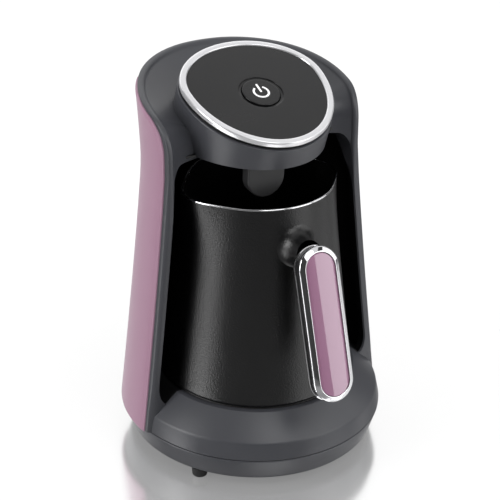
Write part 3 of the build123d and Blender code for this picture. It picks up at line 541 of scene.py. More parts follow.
for entry in frame["record"]["subparts"]:
    node = frame["nodes"][entry["node"]]
    node.data.materials.clear()
    node.data.materials.append(by_slot[entry["material_slot"]])
print("finishes", len(by_slot))

# %% [markdown]
# ## Turned parts
# The pan, the deck and the plate are turned shapes, so each is drawn once as a half profile and
# spun round its axis. Drawing a real fillet into the profile, rather than bevelling afterwards,
# keeps the highlight on every edge exactly as wide as the mould's radius.

# %% Profile and spin helpers
def filleted(corners):
    """Corners (r, z, radius) as a polyline of (r, z) with each corner rounded."""
    points = []
    for index, (r, z, radius) in enumerate(corners):
        if not radius or index in (0, len(corners) - 1):
            points.append((r, z))
            continue
        here = Vector((r, z))
        before = (Vector(corners[index - 1][:2]) - here).normalized()
        after = (Vector(corners[index + 1][:2]) - here).normalized()
        half = before.angle(after) / 2
        reach = radius / sin(half) if half else 0
        centre = here + (before + after).normalized() * reach
        first = here + before * reach * cos(half) - centre
        last = here + after * reach * cos(half) - centre
        turn = first.angle_signed(last)
        steps = max(3, int(abs(turn) / radians(15)))
        for step in range(steps + 1):
            angle = -turn * step / steps
            spun = Matrix.Rotation(angle, 2) @ first
            points.append(tuple(centre + spun))
    return points


def turned(name, middle_y, *corners):
    """A profile of corners (r, z, radius) in mm spun round an upright axis."""
    profile = filleted(corners)
    obj = circle(name, len(profile))
    mesh = edit_mesh(obj, "EDGE")
    closing = [e for e in mesh.edges if {v.index for v in e.verts} == {0, len(profile) - 1}]
    closing[0].select = True
    bpy.ops.mesh.delete(type="EDGE")
    mesh = bmesh.from_edit_mesh(obj.data)
    mesh.verts.ensure_lookup_table()
    for vert, (r, z) in zip(mesh.verts, profile):
        vert.co = Vector((r, middle_y, z)) * MM
    bmesh.update_edit_mesh(obj.data)
    bpy.ops.mesh.select_all(action="SELECT")
    bpy.ops.mesh.spin(
        steps=128, angle=2 * pi, axis=(0, 0, 1), center=(0, middle_y * MM, 0)
    )
    return settle(obj, merge=0.002)


# %% [markdown]
# ## Base: pan, deck and hot plate
# A two-part base is how such an appliance is closed: the lower pan takes the screws, the deck
# carries the plate. Both edges at the seam are rounded a little, so the seam reads as a fine
# dark line. Each profile is a thin wall, because the seam and the plate's gap look inside.

# %% Base pieces
WELL_R, WELL_BLEND = 64.0, 9.0
BEHIND_WING = 1.5
LINER_INSET = 3.3
CUT_BACK = 0.5

pan = turned(
    "base_pan", BASE_Y, (0.001, 5.5, 0), (66.2, 5.5, 3.0), (70.05, 18.8, 0.5), (67.9, 18.8, 0.4),
    (66.5, 14.0, 0), (64.0, 7.7, 2.0), (0.001, 7.7, 0),
)
deck = turned(
    "base_deck_skin", BASE_Y, (66.6, 16.0, 0), (68.0, 19.2, 0.2), (70.05, 19.15, 0.5),
    (68.0, 28.3, 3.0), (54.4, 40.0, 0.9), (51.1, 40.0, 0.35), (51.0, 35.4, 0), (46.0, 35.4, 0),
)

# %% [markdown]
# The deck isn't quite round. Its top ring and its well stand round the pot's axis, and at the
# back it runs in behind the wings, so its points are moved there. Then it is cut along the
# wings' plane, and the part behind it is painted black as painted shade under the wings.

# %% Deck and bay floor
# the top ring and the well stand round the pot's axis, not the base's
for vert in deck.data.vertices:
    r = sqrt(vert.co.x**2 + (vert.co.y - BASE_Y * MM) ** 2) / MM
    share = min(1.0, max(0.0, (WELL_R - r) / WELL_BLEND))
    vert.co.y -= (BASE_Y - POT_Y) * MM * share * share * (3 - 2 * share)

# the deck runs in behind the wings' front edges
for vert in deck.data.vertices:
    y, z = vert.co.y / MM, vert.co.z / MM
    if y > wing_y(z) + BEHIND_WING:
        reach = Vector((vert.co.x / MM, y - body_y(z), 0))
        limit = body_r(z) - LINER_INSET
        if reach.length > limit:
            reach *= limit / reach.length
            vert.co.x, vert.co.y = reach.x * MM, (reach.y + body_y(z)) * MM
smooth(deck)

# painted shade: behind the wings' fronts the deck is painted black, so it is cut off along their
# plane
edit_mesh(deck)
bpy.ops.mesh.select_all(action="SELECT")
bpy.ops.mesh.bisect(
    plane_co=(0, (WING_FOOT_Y + CUT_BACK) * MM, 0), plane_no=(0, cos(LEAN), -sin(LEAN))
)
for face in edit_mesh(deck, "FACE").faces:
    middle = face.calc_center_median() / MM
    face.select = middle.y > wing_y(middle.z) + CUT_BACK
bmesh.update_edit_mesh(deck.data)
bpy.ops.mesh.separate(type="SELECTED")
bpy.ops.object.mode_set(mode="OBJECT")
shade_painted_floor = [obj for obj in bpy.context.selected_objects if obj != deck][0]
shade_painted_floor.name = shade_painted_floor.data.name = "shade_painted_floor"

# %% [markdown]
# The hot plate stands a little above the deck and has a shallow groove near its edge.

# %% Hot plate
plate = turned(
    "warm_plate", POT_Y, (0.001, 40.2, 0), (44.0, 40.2, 0), (45.0, 39.9, 0), (46.0, 40.2, 0),
    (50.6, 40.2, 0.8), (50.6, 37.2, 0), (0.001, 37.2, 0),
)
finish_piece(pan, "housing", "grey_plastic", "base_lower_pan")
finish_piece(deck, "housing", "grey_plastic", "base_deck")
# painted shade: the deck behind the wings gets the black finish to stand for the shade there
finish_piece(shade_painted_floor, "housing", "black_plastic", "base_deck")
finish_piece(plate, "housing", "plate_metal", "hot_plate")

# %% [markdown]
# ## Tower skin
# The tower is one moulding: a round shell with two wings and a collar. A grid is wrapped on the
# body's outline, its free edge following the wing, brow and collar. From that edge a second strip
# turns round a small radius, crosses the front band and turns into the bay. Sharing the same
# points along the edge lets the two be merged without a seam.

# %% Tower sizes
RIM_TURN = 0.6
WING_TURN = 2.0
BAND_INSET = 5.35
TOWER_INSET = 1.3
FOOT_Z = 19.15
CORNER_LOW_Z = 154.5
CORNER_WIDE = 6.5
LIP_Z = 165.5
CHEEK_Z = 134.0
CHEEK_DEEP = 15.0
FLARE_Z = 46.0
FLARE_HIGH = 13.0
FLARE_WIDE = 7.0
SOFT_FROM_Z = 135.0
FOOT_LIFT = 0.4
BAND_TURN, BAND_SOFTER, BAND_SHALLOWER = 0.5, 2.2, 0.33
COLLAR_STEPS = 72
BROW_STEPS = 16

# %% [markdown]
# The free edge is one line: up the left wing, round the brow, along the collar and down again.
# Every line of the band runs beside it, so a profile of setback and inset draws them all.

# %% Free edge
def quarter(steps):
    """Angles of a quarter turn, in radians."""
    return [pi / 2 * step / steps for step in range(steps + 1)]


def brow_end(setback, inset, shift=0.0):
    """Angle from the back, round the body, at which the collar starts."""
    point = brow_point(1.0, setback, inset, 1, shift)
    return acos((point[1] - body_y(point[2])) / (body_r(point[2]) - inset))


def collar_point(around, setback, inset, shift=0.0):
    """A point of the collar's edge at a signed angle from the back."""
    z = 195.0
    for _ in range(14):
        r = body_r(z) - inset
        z = collar_z(body_y(z) + r * cos(around) - shift, setback)
    return round_body(around, z, inset)


def eased(value, low, high):
    """0 below low, 1 above high, and a soft step between."""
    share = max(0.0, min(1.0, (value - low) / (high - low)))
    return share * share * (3 - 2 * share)


def soft_at(z):
    """How far a height on the wing has gone over to the softer edge of the collar."""
    return eased(z, SOFT_FROM_Z, wing_top())


def flare(z):
    """How far the wing's inner edge swings in at its foot, where it meets the deck."""
    drop = min(1.0, max(0.0, (FLARE_Z - z) / FLARE_HIGH))
    return FLARE_WIDE * (1 - sqrt(1 - drop**2))


wing_heights = [FOOT_Z + (FLARE_Z - FOOT_Z) * step / 12 for step in range(12)]
wing_heights += [FLARE_Z + (CORNER_LOW_Z - FLARE_Z) * step / 20 for step in range(21)]
low_count = len(wing_heights)
wing_heights += [
    CORNER_LOW_Z + (wing_top() - CORNER_LOW_Z) * step / 8 for step in range(1, 9)
]


def side_edge(side, heights, wing, brow, shift=0.0):
    """A line up one wing and round its brow; both profiles give setback and inset."""
    line = []
    for z in heights:
        setback, inset = wing(z)
        high = wing_top(setback) if z == heights[-1] else z
        line.append(wing_point(high, setback, inset, side, shift))
    for step in range(1, BROW_STEPS + 1):
        share = step / BROW_STEPS
        line.append(brow_point(share, *brow(share), side, shift))
    return line


def rim_line(profile):
    """The whole free edge: left wing, brow, collar, brow and right wing. The profile gives
    setback and inset for a softness, 0 on the lower wings and 1 round the collar."""
    setback, inset = profile(1.0)

    def wing(z):
        back, deep = profile(soft_at(z))
        share = max(0.0, deep - TOWER_INSET) / (BAND_INSET - TOWER_INSET)
        return back, deep + flare(z) * share

    left, right = (
        side_edge(side, wing_heights, wing, lambda share: (setback, inset)) for side in (-1, 1)
    )
    start = brow_end(setback, inset)
    top = []
    for step in range(1, COLLAR_STEPS):
        top.append(collar_point(start * (2 * step / COLLAR_STEPS - 1), setback, inset))
    return left + top + right[::-1]


def turn_r(soft):
    """Radius of the band's outer edge, rounder on the wings than round the collar."""
    return WING_TURN + (RIM_TURN - WING_TURN) * soft

# %% [markdown]
# The wall's grid runs from the left wing round the back to the right one. Its rows climb from
# the foot up the wings, and the last row is the collar's own edge.

# %% Tower wall
edge = rim_line(lambda soft: (turn_r(soft), TOWER_INSET))
front_count = len(wing_heights) + BROW_STEPS
left_edge = edge[:front_count]
top_edge = edge[front_count - 1 : len(edge) - front_count + 1]
rows = []
for inset, lift in ((LINER_INSET, 0.0), (1.7, 0.0), (1.42, 0.12)):
    row = []
    for step in range(COLLAR_STEPS + 1):
        around = around_back(left_edge[0]) * (1 - 2 * step / COLLAR_STEPS)
        x, y, z = round_body(around, FOOT_Z, inset)
        row.append((x, y, z + lift))
    rows.append(row)
for start in left_edge[:-1]:
    height = (start[2] - FOOT_Z) / (left_edge[-1][2] - FOOT_Z)
    row = [start]
    for step in range(1, COLLAR_STEPS):
        around = around_back(start) * (1 - 2 * step / COLLAR_STEPS)
        z = start[2] + (top_edge[step][2] - left_edge[-1][2]) * height
        if start is left_edge[0]:
            z += FOOT_LIFT
        row.append(round_body(around, z, TOWER_INSET))
    rows.append(row + [(-start[0], start[1], start[2])])
rows.append(top_edge)
tower = sheet("tower_wall", rows)

# %% [markdown]
# The band's lines follow the free edge: round the outer edge, over the flat front, then round
# the inner edge towards the bay.

# %% Front band
def rim_turn(a):
    """Round the outer edge, from the wall to the front face."""
    return lambda soft: (turn_r(soft) * (1 - sin(a)), TOWER_INSET + turn_r(soft) * (1 - cos(a)))


def band_turn(a):
    """Round the inner edge: tight on the wings, wide and not so far round the collar."""

    def place(soft):
        r = BAND_TURN + BAND_SOFTER * soft
        here = a * (1 - BAND_SHALLOWER * soft)
        return (r * (1 - cos(here)), BAND_INSET - r * (1 - sin(here)))

    return place


profiles = [rim_turn(a) for a in quarter(5)]
profiles.append(lambda soft: (0.0, TOWER_INSET + turn_r(soft) + 0.45))
profiles += [band_turn(a) for a in quarter(7)]
band = sheet("tower_band", [rim_line(profile) for profile in profiles])

# %% [markdown]
# Inside the band the collar dips to the head as a funnel-like cove: steep at the band, then
# flatter. It is a sheet whose lines run from the band inwards and end inside the head's drum,
# which hides their ends. Its lowest line is the bay's top edge with its long round corner.

# %% Collar cove
COVE_DROP, COVE_SLOPE = 7.0, 0.62
WING_REACH = 20.0
DRUM_HALF = 31.0
CORNER_TUCK = 0.6
DRUM_MIDDLE_Y, DRUM_REAR = POT_Y + 4.0, 33.0
shares_in = [0, 0.03, 0.07, 0.12, 0.18, 0.26, 0.36, 0.48, 0.62, 0.8, 1.0]
inner_end = band_turn(pi / 2)
EDGE_DIP, EDGE_INSET = inner_end(1.0)


def cove_dip(w, distance, first):
    """How deep the cove is, from the band's edge (0) inwards (1)."""
    drop = min(COVE_DROP, COVE_SLOPE * distance)
    return first + drop * (1 - (1 - w) ** 2)


def corner_z(reach):
    """Height of the bay's upper edge at a distance in from the wing's inner edge."""
    share = min(1.0, reach / CORNER_WIDE)
    return CORNER_LOW_Z + (LIP_Z - CORNER_LOW_Z) * sqrt(1 - (1 - share) ** 2)


def cove_wing(z_outer, side):
    """A line of the cove on the upper wing."""
    soft = soft_at(z_outer)
    first, inset = inner_end(soft)
    rise = (z_outer - CORNER_LOW_Z) / (wing_top() - CORNER_LOW_Z)
    high = wing_top(first) if z_outer == wing_heights[-1] else z_outer
    outer = wing_point(high, first, inset, side)
    line = []
    for w in shares_in:
        x = outer[0] + (side * DRUM_HALF - outer[0]) * w
        low = corner_z(abs(outer[0] - x))
        dip = cove_dip(w, WING_REACH, first)
        z = low + (wing_top(dip) - low) * rise
        line.append((x, wing_y(z) + dip / cos(LEAN), z))
    line[0] = outer
    return line


def cove_brow(share, side):
    """A line of the cove on the brow."""
    outer = brow_point(share, EDGE_DIP, EDGE_INSET, side)
    line = []
    for w in shares_in:
        level = brow_point(share, cove_dip(w, WING_REACH, EDGE_DIP), EDGE_INSET, side)
        line.append((outer[0] + (side * DRUM_HALF - outer[0]) * w, level[1], level[2]))
    return line


def cove_top(around, start):
    """A line of the cove on the collar, from the band towards the head."""
    outer = collar_point(around, EDGE_DIP, EDGE_INSET)
    turn = around / start * radians(90)
    inner = (DRUM_HALF * sin(turn), DRUM_MIDDLE_Y + DRUM_REAR * cos(turn))
    distance = hypot(outer[0] - inner[0], outer[1] - inner[1])
    nearness = abs(around / start) ** 3
    line = []
    for w in shares_in:
        x = outer[0] + (inner[0] - outer[0]) * w
        y = outer[1] + (inner[1] - outer[1]) * w
        reach = distance * (1 - nearness) + WING_REACH * nearness
        line.append((x, y, collar_z(y, cove_dip(w, reach, EDGE_DIP))))
    return line


def cove_side(side):
    """The cove's lines on one side, from the bay's corner up."""
    lowest = cove_wing(CORNER_LOW_Z, side)
    lines = [[(x, y + CORNER_TUCK, z) for x, y, z in lowest], lowest]
    lines += [cove_wing(z, side) for z in wing_heights[low_count:]]
    lines += [cove_brow(step / BROW_STEPS, side) for step in range(1, BROW_STEPS + 1)]
    return lines


start = brow_end(EDGE_DIP, EDGE_INSET)
top = [
    cove_top(start * (2 * step / COLLAR_STEPS - 1), start) for step in range(1, COLLAR_STEPS)
]
cove = sheet("collar_cove", cove_side(-1) + top + cove_side(1)[::-1])
tower = weld([tower, band, cove], "tower_skin")
face_away(tower, (0, 20, 110))
finish_piece(tower, "housing", "grey_plastic", "body_shell")

# %% [markdown]
# The bay is lined in black right up to the grey edge. A narrow lip runs from the foot of the
# wing up its inner edge, round the corner and along the cove's lowest line, and goes back from
# there to the liner. High up, a grey cheek covers it: the cove's own surface turning into the bay.

# %% Bay lip
def lip_path(side):
    """The bay's edge of one side: points, and the directions pointing out of the bay."""
    path, outwards = [], []
    for z in wing_heights[:low_count]:
        first, inset = inner_end(soft_at(z))
        path.append(Vector(wing_point(z, first, inset + flare(z), side)))
        outwards.append(Vector((side, 0, 0)))
    for x, y, z in cove_wing(CORNER_LOW_Z, side)[1:]:
        path.append(Vector((x, y + CORNER_TUCK, z)))
        share = min(1.0, abs(x - path[low_count - 1].x) / CORNER_WIDE)
        outwards.append(Vector((side * (1 - share), 0, 0.2 + share)).normalized())
    return path, outwards


def strip(name, side, shape, angle):
    """A strip along the bay's edge; shape lists how far its lines go back and out there."""
    path, outwards = lip_path(side)
    rows = []
    for lines in zip(*(shape(p.z) for p in path)):
        rows.append([
            p + Vector((0, back, 0)) + o * out for p, o, (back, out) in zip(path, outwards, lines)
        ])
    piece = sheet(name, rows, angle)
    face_away(piece, (side * 400, POT_Y, 100))
    return piece


def lip_lines(z):
    """The black lip, the same at each height: back into the bay, then out to the liner."""
    return ((0.0, 0.0), (1.5, -0.1), (5.0, -0.15), (5.0, 2.6))


def cheek_lines(z):
    """The grey cheek widens up the wing and runs back into the bay."""
    back = 0.3 + CHEEK_DEEP * eased(z, CHEEK_Z, LIP_Z)
    return [(back * share, -0.35 * sqrt(share)) for share in (0.0, 0.12, 0.4, 0.7, 1.0)]


for name, lines, angle, slot_name in (
    ("cove_cheeks", cheek_lines, 60, "grey_plastic"), ("bay_lip", lip_lines, 30, "black_plastic")
):
    piece = join([strip("strip", side, lines, angle) for side in (-1, 1)], name)
    finish_piece(piece, "housing", slot_name)

# %% [markdown]
# ## Side panels
# Each wing wears a thin lacquered panel that is rolled over at its edges. It is drawn as a sheet
# a panel's thickness outside the tower skin whose border sinks onto it along a quarter round:
# wide and soft at the front, where it catches a double highlight, and narrow elsewhere.

# %% Side panels
PANEL_SETBACK = 0.9
PANEL_SHIFT = 2.4
PANEL_THICK = 1.3
PANEL_REAR = POT_Y + 47.0
REAR_TOP_Z = 198.0
PANEL_FOOT_ROLL = 1.2
FRONT_ROLL = 2.6
COLLAR_ROLL = 1.4
FIRST_TURN, SECOND_TURN = 0.16, 0.75
BEVEL_LOW, BEVEL_RISE = 0.60, 0.30
rolls = [0.0, 0.02, 0.06, 0.11, 0.16, 0.35, 0.55, 0.75, 0.84, 0.92, 1.0]
short_rolls = [0.0, 0.04, 0.15, 0.32, 0.55, 0.8, 1.0]


def bevelled(share):
    """Height of the front border: a tight radius, a flat bevel, then a second radius."""
    if share < FIRST_TURN:
        return BEVEL_LOW * sqrt(1 - (1 - share / FIRST_TURN) ** 2)
    if share < SECOND_TURN:
        return BEVEL_LOW + BEVEL_RISE * (share - FIRST_TURN) / (SECOND_TURN - FIRST_TURN)
    left = (share - SECOND_TURN) / (1 - SECOND_TURN)
    bevel_top = BEVEL_LOW + BEVEL_RISE
    return bevel_top + (1 - bevel_top) * (1 - (1 - left) ** 2)


def sunk(distance, width):
    """How much of the panel's thickness is left at a distance from a plain rounded edge."""
    if distance >= width:
        return 1.0
    return sqrt(max(0.0, 1 - (1 - distance / width) ** 2))


def rear_angle(z, rear):
    """Angle from the back at which the body reaches a depth."""
    return acos(max(-1.0, min(1.0, (rear - body_y(z)) / body_r(z))))

# %% [markdown]
# A panel's border and its main sheet share their points where they meet, so they are welded. The
# foot and the rear edge sink onto the tower as well, each in a plain narrow round.

# %% Panel sheets
def panel_piece(name, side):
    """The panel of one side."""
    heights = [SEAM_Z + PANEL_FOOT_ROLL * roll for roll in short_rolls]
    low = heights[-1]
    heights += [low + (wing_top() - low) * step / 26 for step in range(1, 27)]

    def backwards(z, first, full):
        """Angles and thickness left along a level, from the front roll to the rear edge."""
        last = rear_angle(z, PANEL_REAR - PANEL_FOOT_ROLL)
        places = [(first + (last - first) * (step / 20), full) for step in range(1, 21)]
        for roll in short_rolls[-2::-1]:
            reach = PANEL_FOOT_ROLL * roll
            places.append((rear_angle(z, PANEL_REAR - reach), full * sunk(reach, PANEL_FOOT_ROLL)))
        return places

    def border(roll):
        """One line along the front, the brow and the collar, at a share of the roll's width."""
        rise = bevelled(roll)

        def wing(z):
            full = rise * sunk(z - SEAM_Z, PANEL_FOOT_ROLL)
            return PANEL_SETBACK + FRONT_ROLL * roll, PANEL_THICK * (1 - full)

        def brow(share):
            width = FRONT_ROLL + (COLLAR_ROLL - FRONT_ROLL) * share
            return PANEL_SETBACK + width * roll, PANEL_THICK * (1 - rise)

        line = side_edge(side, heights, wing, brow, PANEL_SHIFT)
        setback = PANEL_SETBACK + COLLAR_ROLL * roll
        first = brow_end(setback, 0, PANEL_SHIFT)
        for around, full in backwards(REAR_TOP_Z, first, rise):
            depth = PANEL_THICK * (1 - full)
            line.append(collar_point(side * around, setback, depth, PANEL_SHIFT))
        return line

    roll_sheet = sheet(name + "_roll", [border(roll) for roll in rolls])
    inner = border(1.0)
    fronts = inner[: len(heights) + BROW_STEPS]
    tops = inner[len(heights) + BROW_STEPS - 1 :]
    rows = []
    for front in fronts[:-1]:
        height = (front[2] - SEAM_Z) / (fronts[-1][2] - SEAM_Z)
        full_low = sunk(front[2] - SEAM_Z, PANEL_FOOT_ROLL)
        first = abs(around_back(front))
        row = [front]
        for step, top_point in enumerate(tops[1:]):
            z = front[2] + (top_point[2] - fronts[-1][2]) * height
            around, full = backwards(z, first, full_low)[step]
            row.append(round_body(side * around, z, PANEL_THICK * (1 - full)))
        rows.append(row)
    rows.append(tops)
    main = sheet(name + "_main", rows)
    piece = weld([main, roll_sheet], name, angle=50)
    face_away(piece, (0, 10, 110))
    return piece


for side, word in ((-1, "left"), (1, "right")):
    panel = panel_piece("wing_panel_" + word, side)
    finish_piece(panel, "housing", "mauve_plastic", "side_panel_" + word)

# %% [markdown]
# ## Control head
# The head is an egg in plan: a short half ellipse behind and a longer one in front, which share
# their width, so the outline has no corner. Every ring of the head is the same egg grown or
# shrunk, and the drum, the bezel and the panel are stacks of eggs.

# %% Egg outline and head pieces
EGG_HALF_WIDTH = 39.5
EGG_MIDDLE = 8.0
EGG_REAR = 32.5
EGG_FRONT = 47.5
EGG_POINTS = 160
DRUM_TOP = 3.9
DRUM_ROUND = 0.6
BEZEL_BAND = 3.6
BEZEL_ROUND = 0.9


def egg_outline(grow):
    """Points (x, s) of the head's outline, moved out by grow, from the back round the right."""
    points = []
    for step in range(EGG_POINTS):
        turn = 2 * pi * step / EGG_POINTS
        reach = EGG_REAR if cos(turn) > 0 else EGG_FRONT
        x = (EGG_HALF_WIDTH + grow) * sin(turn)
        points.append((x, EGG_MIDDLE + (reach + grow) * cos(turn)))
    return points


def egg_loop(grow, depth):
    """The egg at a depth below the head's face."""
    return [head_point(x, s, depth) for x, s in egg_outline(grow)]


def egg_level(grow, level):
    """The egg where its wall meets a level, or its own top, whichever is lower."""
    loop = []
    for x, s in egg_outline(grow):
        depth = max(DRUM_TOP, (HEAD_Z + s * sin(TILT) - level) / cos(TILT))
        loop.append(head_point(x, s, depth))
    return loop


def bend(steps, start, reach, across=False):
    """A quarter round of number pairs, which sets off along the second number, or across."""
    pairs = []
    for a in quarter(steps):
        u, v = (sin(a), 1 - cos(a)) if across else (1 - cos(a), sin(a))
        pairs.append((start[0] + reach[0] * u, start[1] + reach[1] * v))
    return pairs


def stack(outline, *places):
    """Loops of one kind of outline, one for each place."""
    return [outline(*place) for place in places]


drum_loops = stack(
    egg_loop, (-2.2, DRUM_TOP + 0.3), (-1.2, DRUM_TOP), (-0.6, DRUM_TOP - 0.02),
    *bend(6, (-0.1, DRUM_TOP), (DRUM_ROUND, DRUM_ROUND), across=True),
)
for share in (0.25, 0.5, 0.75, 0.985):
    loop = []
    for x, s in egg_outline(0.5):
        first = DRUM_TOP + DRUM_ROUND
        last = (HEAD_Z + s * sin(TILT) - CEILING_Z) / cos(TILT)
        loop.append(head_point(x, s, first + (last - first) * share))
    drum_loops.append(loop)
drum_loops += stack(
    egg_level, (0.35, CEILING_Z + 0.12), *((grow, CEILING_Z) for grow in (0.0, -0.9, -4.0))
)
drum = skin("head_drum", drum_loops, cap_last=True)
finish_piece(drum, "housing", "grey_plastic", "head_shell")

groove_loops = stack(egg_loop, (-3.3, 1.2), (-1.0, 1.2), (-1.0, 4.3), (-3.3, 4.3))
groove = skin("head_groove", groove_loops, angle=25)
finish_piece(groove, "housing", "black_plastic")

bezel = closed_skin("bright_bezel", stack(
    egg_loop, (-BEZEL_BAND, 2.0),
    *bend(6, (-BEZEL_BAND, -0.1), (BEZEL_ROUND, -BEZEL_ROUND)), (-1.8, -1.06),
    *bend(6, (-BEZEL_ROUND, -0.1 - BEZEL_ROUND), (BEZEL_ROUND, BEZEL_ROUND), across=True),
    (0.0, 1.7), (-0.3, 2.0), (-BEZEL_BAND, 2.0),
))
finish_piece(bezel, "housing", "chrome_trim", "chrome_bezel", material=bezel_trim)

# %% [markdown]
# The face of the head is a gloss panel with a shallow round dish for the button. Round loops
# and egg loops can't share the same points by themselves, so one loop of the stack is a blend of
# the two, which keeps the faces even from the rim of the dish to the bezel.

# %% Face panel
PANEL_IN = BEZEL_BAND + 0.1
PANEL_LEVEL = -0.3


def ring(radius, depth):
    """A circle round the middle of the head, starting at the back as the egg does."""
    points = []
    for x, s in egg_outline(-PANEL_IN):
        angle = atan2(x, s)
        points.append(head_point(radius * sin(angle), radius * cos(angle), depth))
    return points


DISH_R, WELL_IN_R, BUTTON_R = 11.9, 10.2, 9.9
panel_loops = stack(
    egg_loop, (-PANEL_IN, 1.4), (-PANEL_IN, -0.1), (-PANEL_IN - 0.2, PANEL_LEVEL),
    (-PANEL_IN - 0.5, PANEL_LEVEL),
)
support, dish_support = panel_loops[-1], ring(DISH_R + 0.6, PANEL_LEVEL)
for share in (0.1, 0.35, 0.65, 0.9):
    panel_loops.append([Vector(a).lerp(Vector(b), share) for a, b in zip(support, dish_support)])
panel_loops += [dish_support] + stack(
    ring, (DISH_R + 0.25, -0.29), *bend(4, (DISH_R, -0.29), (-0.35, 0.35), across=True),
    (DISH_R - 0.4, 0.3), (DISH_R - 0.7, 0.45), (WELL_IN_R + 0.1, 0.45), (WELL_IN_R, 0.9),
    (WELL_IN_R, 2.4),
)
face_panel = skin("face_panel", panel_loops)
finish_piece(face_panel, "housing", "panel_gloss", "top_panel")

# %% [markdown]
# The button is a low cap in the dish, on a body of its own because it can be pressed. Its symbol
# is a thin sheet with a wall: an open ring and a bar.

# %% Button and symbol
cap_loops = stack(
    ring, (BUTTON_R, 2.6), (BUTTON_R, 0.1), *bend(5, (BUTTON_R, -0.05), (-0.45, -0.4)),
    (9.0, -0.46), (7.0, -0.46), (5.5, -0.46),
)
cap = skin("button_face", cap_loops, cap_last=True)
gloss = by_slot["panel_gloss"]
finish_piece(cap, "power_button", "black_plastic", "button_cap", material=gloss)

ICON_R = 3.9
STROKE = 1.1
BAR_LOW, BAR_HIGH = -0.3, 6.1
ICON_LEVEL = -0.50
ICON_WALL = 0.12
ICON_GAP = radians(33)
arc = [ICON_GAP + (2 * pi - 2 * ICON_GAP) * step / 48 for step in range(49)]


def icon_sheet(name, rows):
    """A flat sheet of the symbol, given its wall."""
    piece = sheet(name, rows)
    only(piece)
    modifier = piece.modifiers.new("wall", "SOLIDIFY")
    modifier.thickness = ICON_WALL * MM
    modifier.offset = -1
    bpy.ops.object.modifier_apply(modifier=modifier.name)
    return piece


circle_rows = [
    [head_point(radius * sin(a), radius * cos(a), ICON_LEVEL) for a in arc]
    for radius in (ICON_R - STROKE / 2, ICON_R, ICON_R + STROKE / 2)
]
bar_rows = []
for share in (-1.0, -0.7, 0.0, 0.7, 1.0):
    offset = share * STROKE / 2
    cap_reach = STROKE / 2 - sqrt((STROKE / 2) ** 2 - offset**2)
    low, high = BAR_LOW + cap_reach, BAR_HIGH - cap_reach
    bar_rows.append(
        [head_point(offset, low + (high - low) * u / 6, ICON_LEVEL) for u in range(7)]
    )
icon = weld([icon_sheet("icon_ring", circle_rows), icon_sheet("icon_bar", bar_rows)], "icon")
# the symbol's finish glows faintly: painted light, not a lamp
finish_piece(icon, "power_button", "icon_white", "icon_lens")

# %% [markdown]
# ## Overflow sensor
# The tongue under the head looks down into the pot. It is a flat bar with a half-round end, so a
# single outline is extruded back, with a soft front edge that shows as a fine light line.

# %% Sensor nose
NOSE_X, NOSE_Y = -9.3, POT_Y - 22.7
NOSE_R = 10.4
NOSE_LOW_Z = 149.4
NOSE_DEPTH = 6.5
NOSE_ROUND = 0.6


def nose_loop(inset, back):
    """The tongue's outline, moved in by inset, at a depth behind its face."""
    radius = NOSE_R - inset
    points = []
    for step in range(41):
        angle = pi + pi * step / 40
        points.append((radius * cos(angle), NOSE_LOW_Z + NOSE_R + radius * sin(angle)))
    points.append((radius, CEILING_Z - 0.1))
    points.append((-radius, CEILING_Z - 0.1))
    return [(NOSE_X + x, NOSE_Y + back, z) for x, z in points]


nose_loops = stack(
    nose_loop, (1.0, 0.0), *bend(5, (NOSE_ROUND, 0.0), (-NOSE_ROUND, NOSE_ROUND), across=True),
    (0, NOSE_DEPTH - 0.5), (0.5, NOSE_DEPTH),
)
nose = skin("sensor_tongue", nose_loops, cap_first=True, cap_last=True)
finish_piece(nose, "housing", "black_plastic", "sensor_nose", material=nose_black)

# %% [markdown]
# ## Pot
# The pot is spun and then drawn out to a lip on either side, so one can pour with either hand.
# A stack of outlines gives both: circles below, and above them circles that reach out towards
# the left and the right. The rim is arched, so the last outline takes its height from its width.

# %% Pot
POT_FOOT, POT_FOOT_R = 40.5, 52.5
POT_RIM, POT_TAPER = 148.8, 14.6
POT_WALL = 1.4
POT_FOOT_ROUND, POT_INNER_ROUND = 2.6, 3.0
POT_FLOOR = 43.4
LIP_FROM_Z = 104.0
LIP_REACH = 6.2
LIP_SPREAD = radians(21)
ARCH_R = 560
ARCH_FROM_Z, ARCH_OVER = 124, 24.3


def pot_radius(z, around, inset=0.0):
    """The pot's radius at a height and an angle from the right."""
    r = POT_FOOT_R - POT_TAPER * (z - POT_FOOT) / (POT_RIM - POT_FOOT) - inset
    rise = max(0.0, (z - LIP_FROM_Z) / (POT_RIM - LIP_FROM_Z))
    off = abs((around + pi / 2) % pi - pi / 2)
    return r + LIP_REACH * rise**2.2 * exp(-((off / LIP_SPREAD) ** 2))


def pot_loop(z, inset=0.0, arch=0.0):
    """The pot's outline at a height; arch lowers it towards the lips."""
    points = []
    for step in range(144):
        around = 2 * pi * step / 144
        here = z
        for _ in range(3):
            x = pot_radius(here, around, inset) * cos(around)
            here = z - arch * (ARCH_R - sqrt(ARCH_R**2 - x**2))
        r = pot_radius(here, around, inset)
        points.append((r * cos(around), POT_Y + r * sin(around), here))
    return points


def arched(inset, *heights):
    """Places that bend more and more from where the arch begins up to the rim."""
    return [(z, inset, max(0.0, (z - ARCH_FROM_Z) / ARCH_OVER)) for z in heights]


pot_loops = stack(
    pot_loop, (POT_FOOT, 20.0),
    *bend(8, (POT_FOOT, POT_FOOT_ROUND), (POT_FOOT_ROUND, -POT_FOOT_ROUND)),
    *arched(0.0, 48, 56, 66, 78, 90, 100, 106, 112, 118, 124, 129, 134, 138, 142, 145, 147, 148.1),
    (148.1, POT_WALL, 1.0),
    *arched(POT_WALL, 145, 140, 134, 128, 120, 110, 100, 80, 60),
    *bend(
        6, (POT_FLOOR + POT_INNER_ROUND, POT_WALL), (-POT_INNER_ROUND, POT_INNER_ROUND),
        across=True,
    ),
    (POT_FLOOR, 24.0),
)
pot = skin("pot_shell", pot_loops, cap_first=True, cap_last=True)
finish_piece(pot, "pot", "pot_coating", "pot_body")

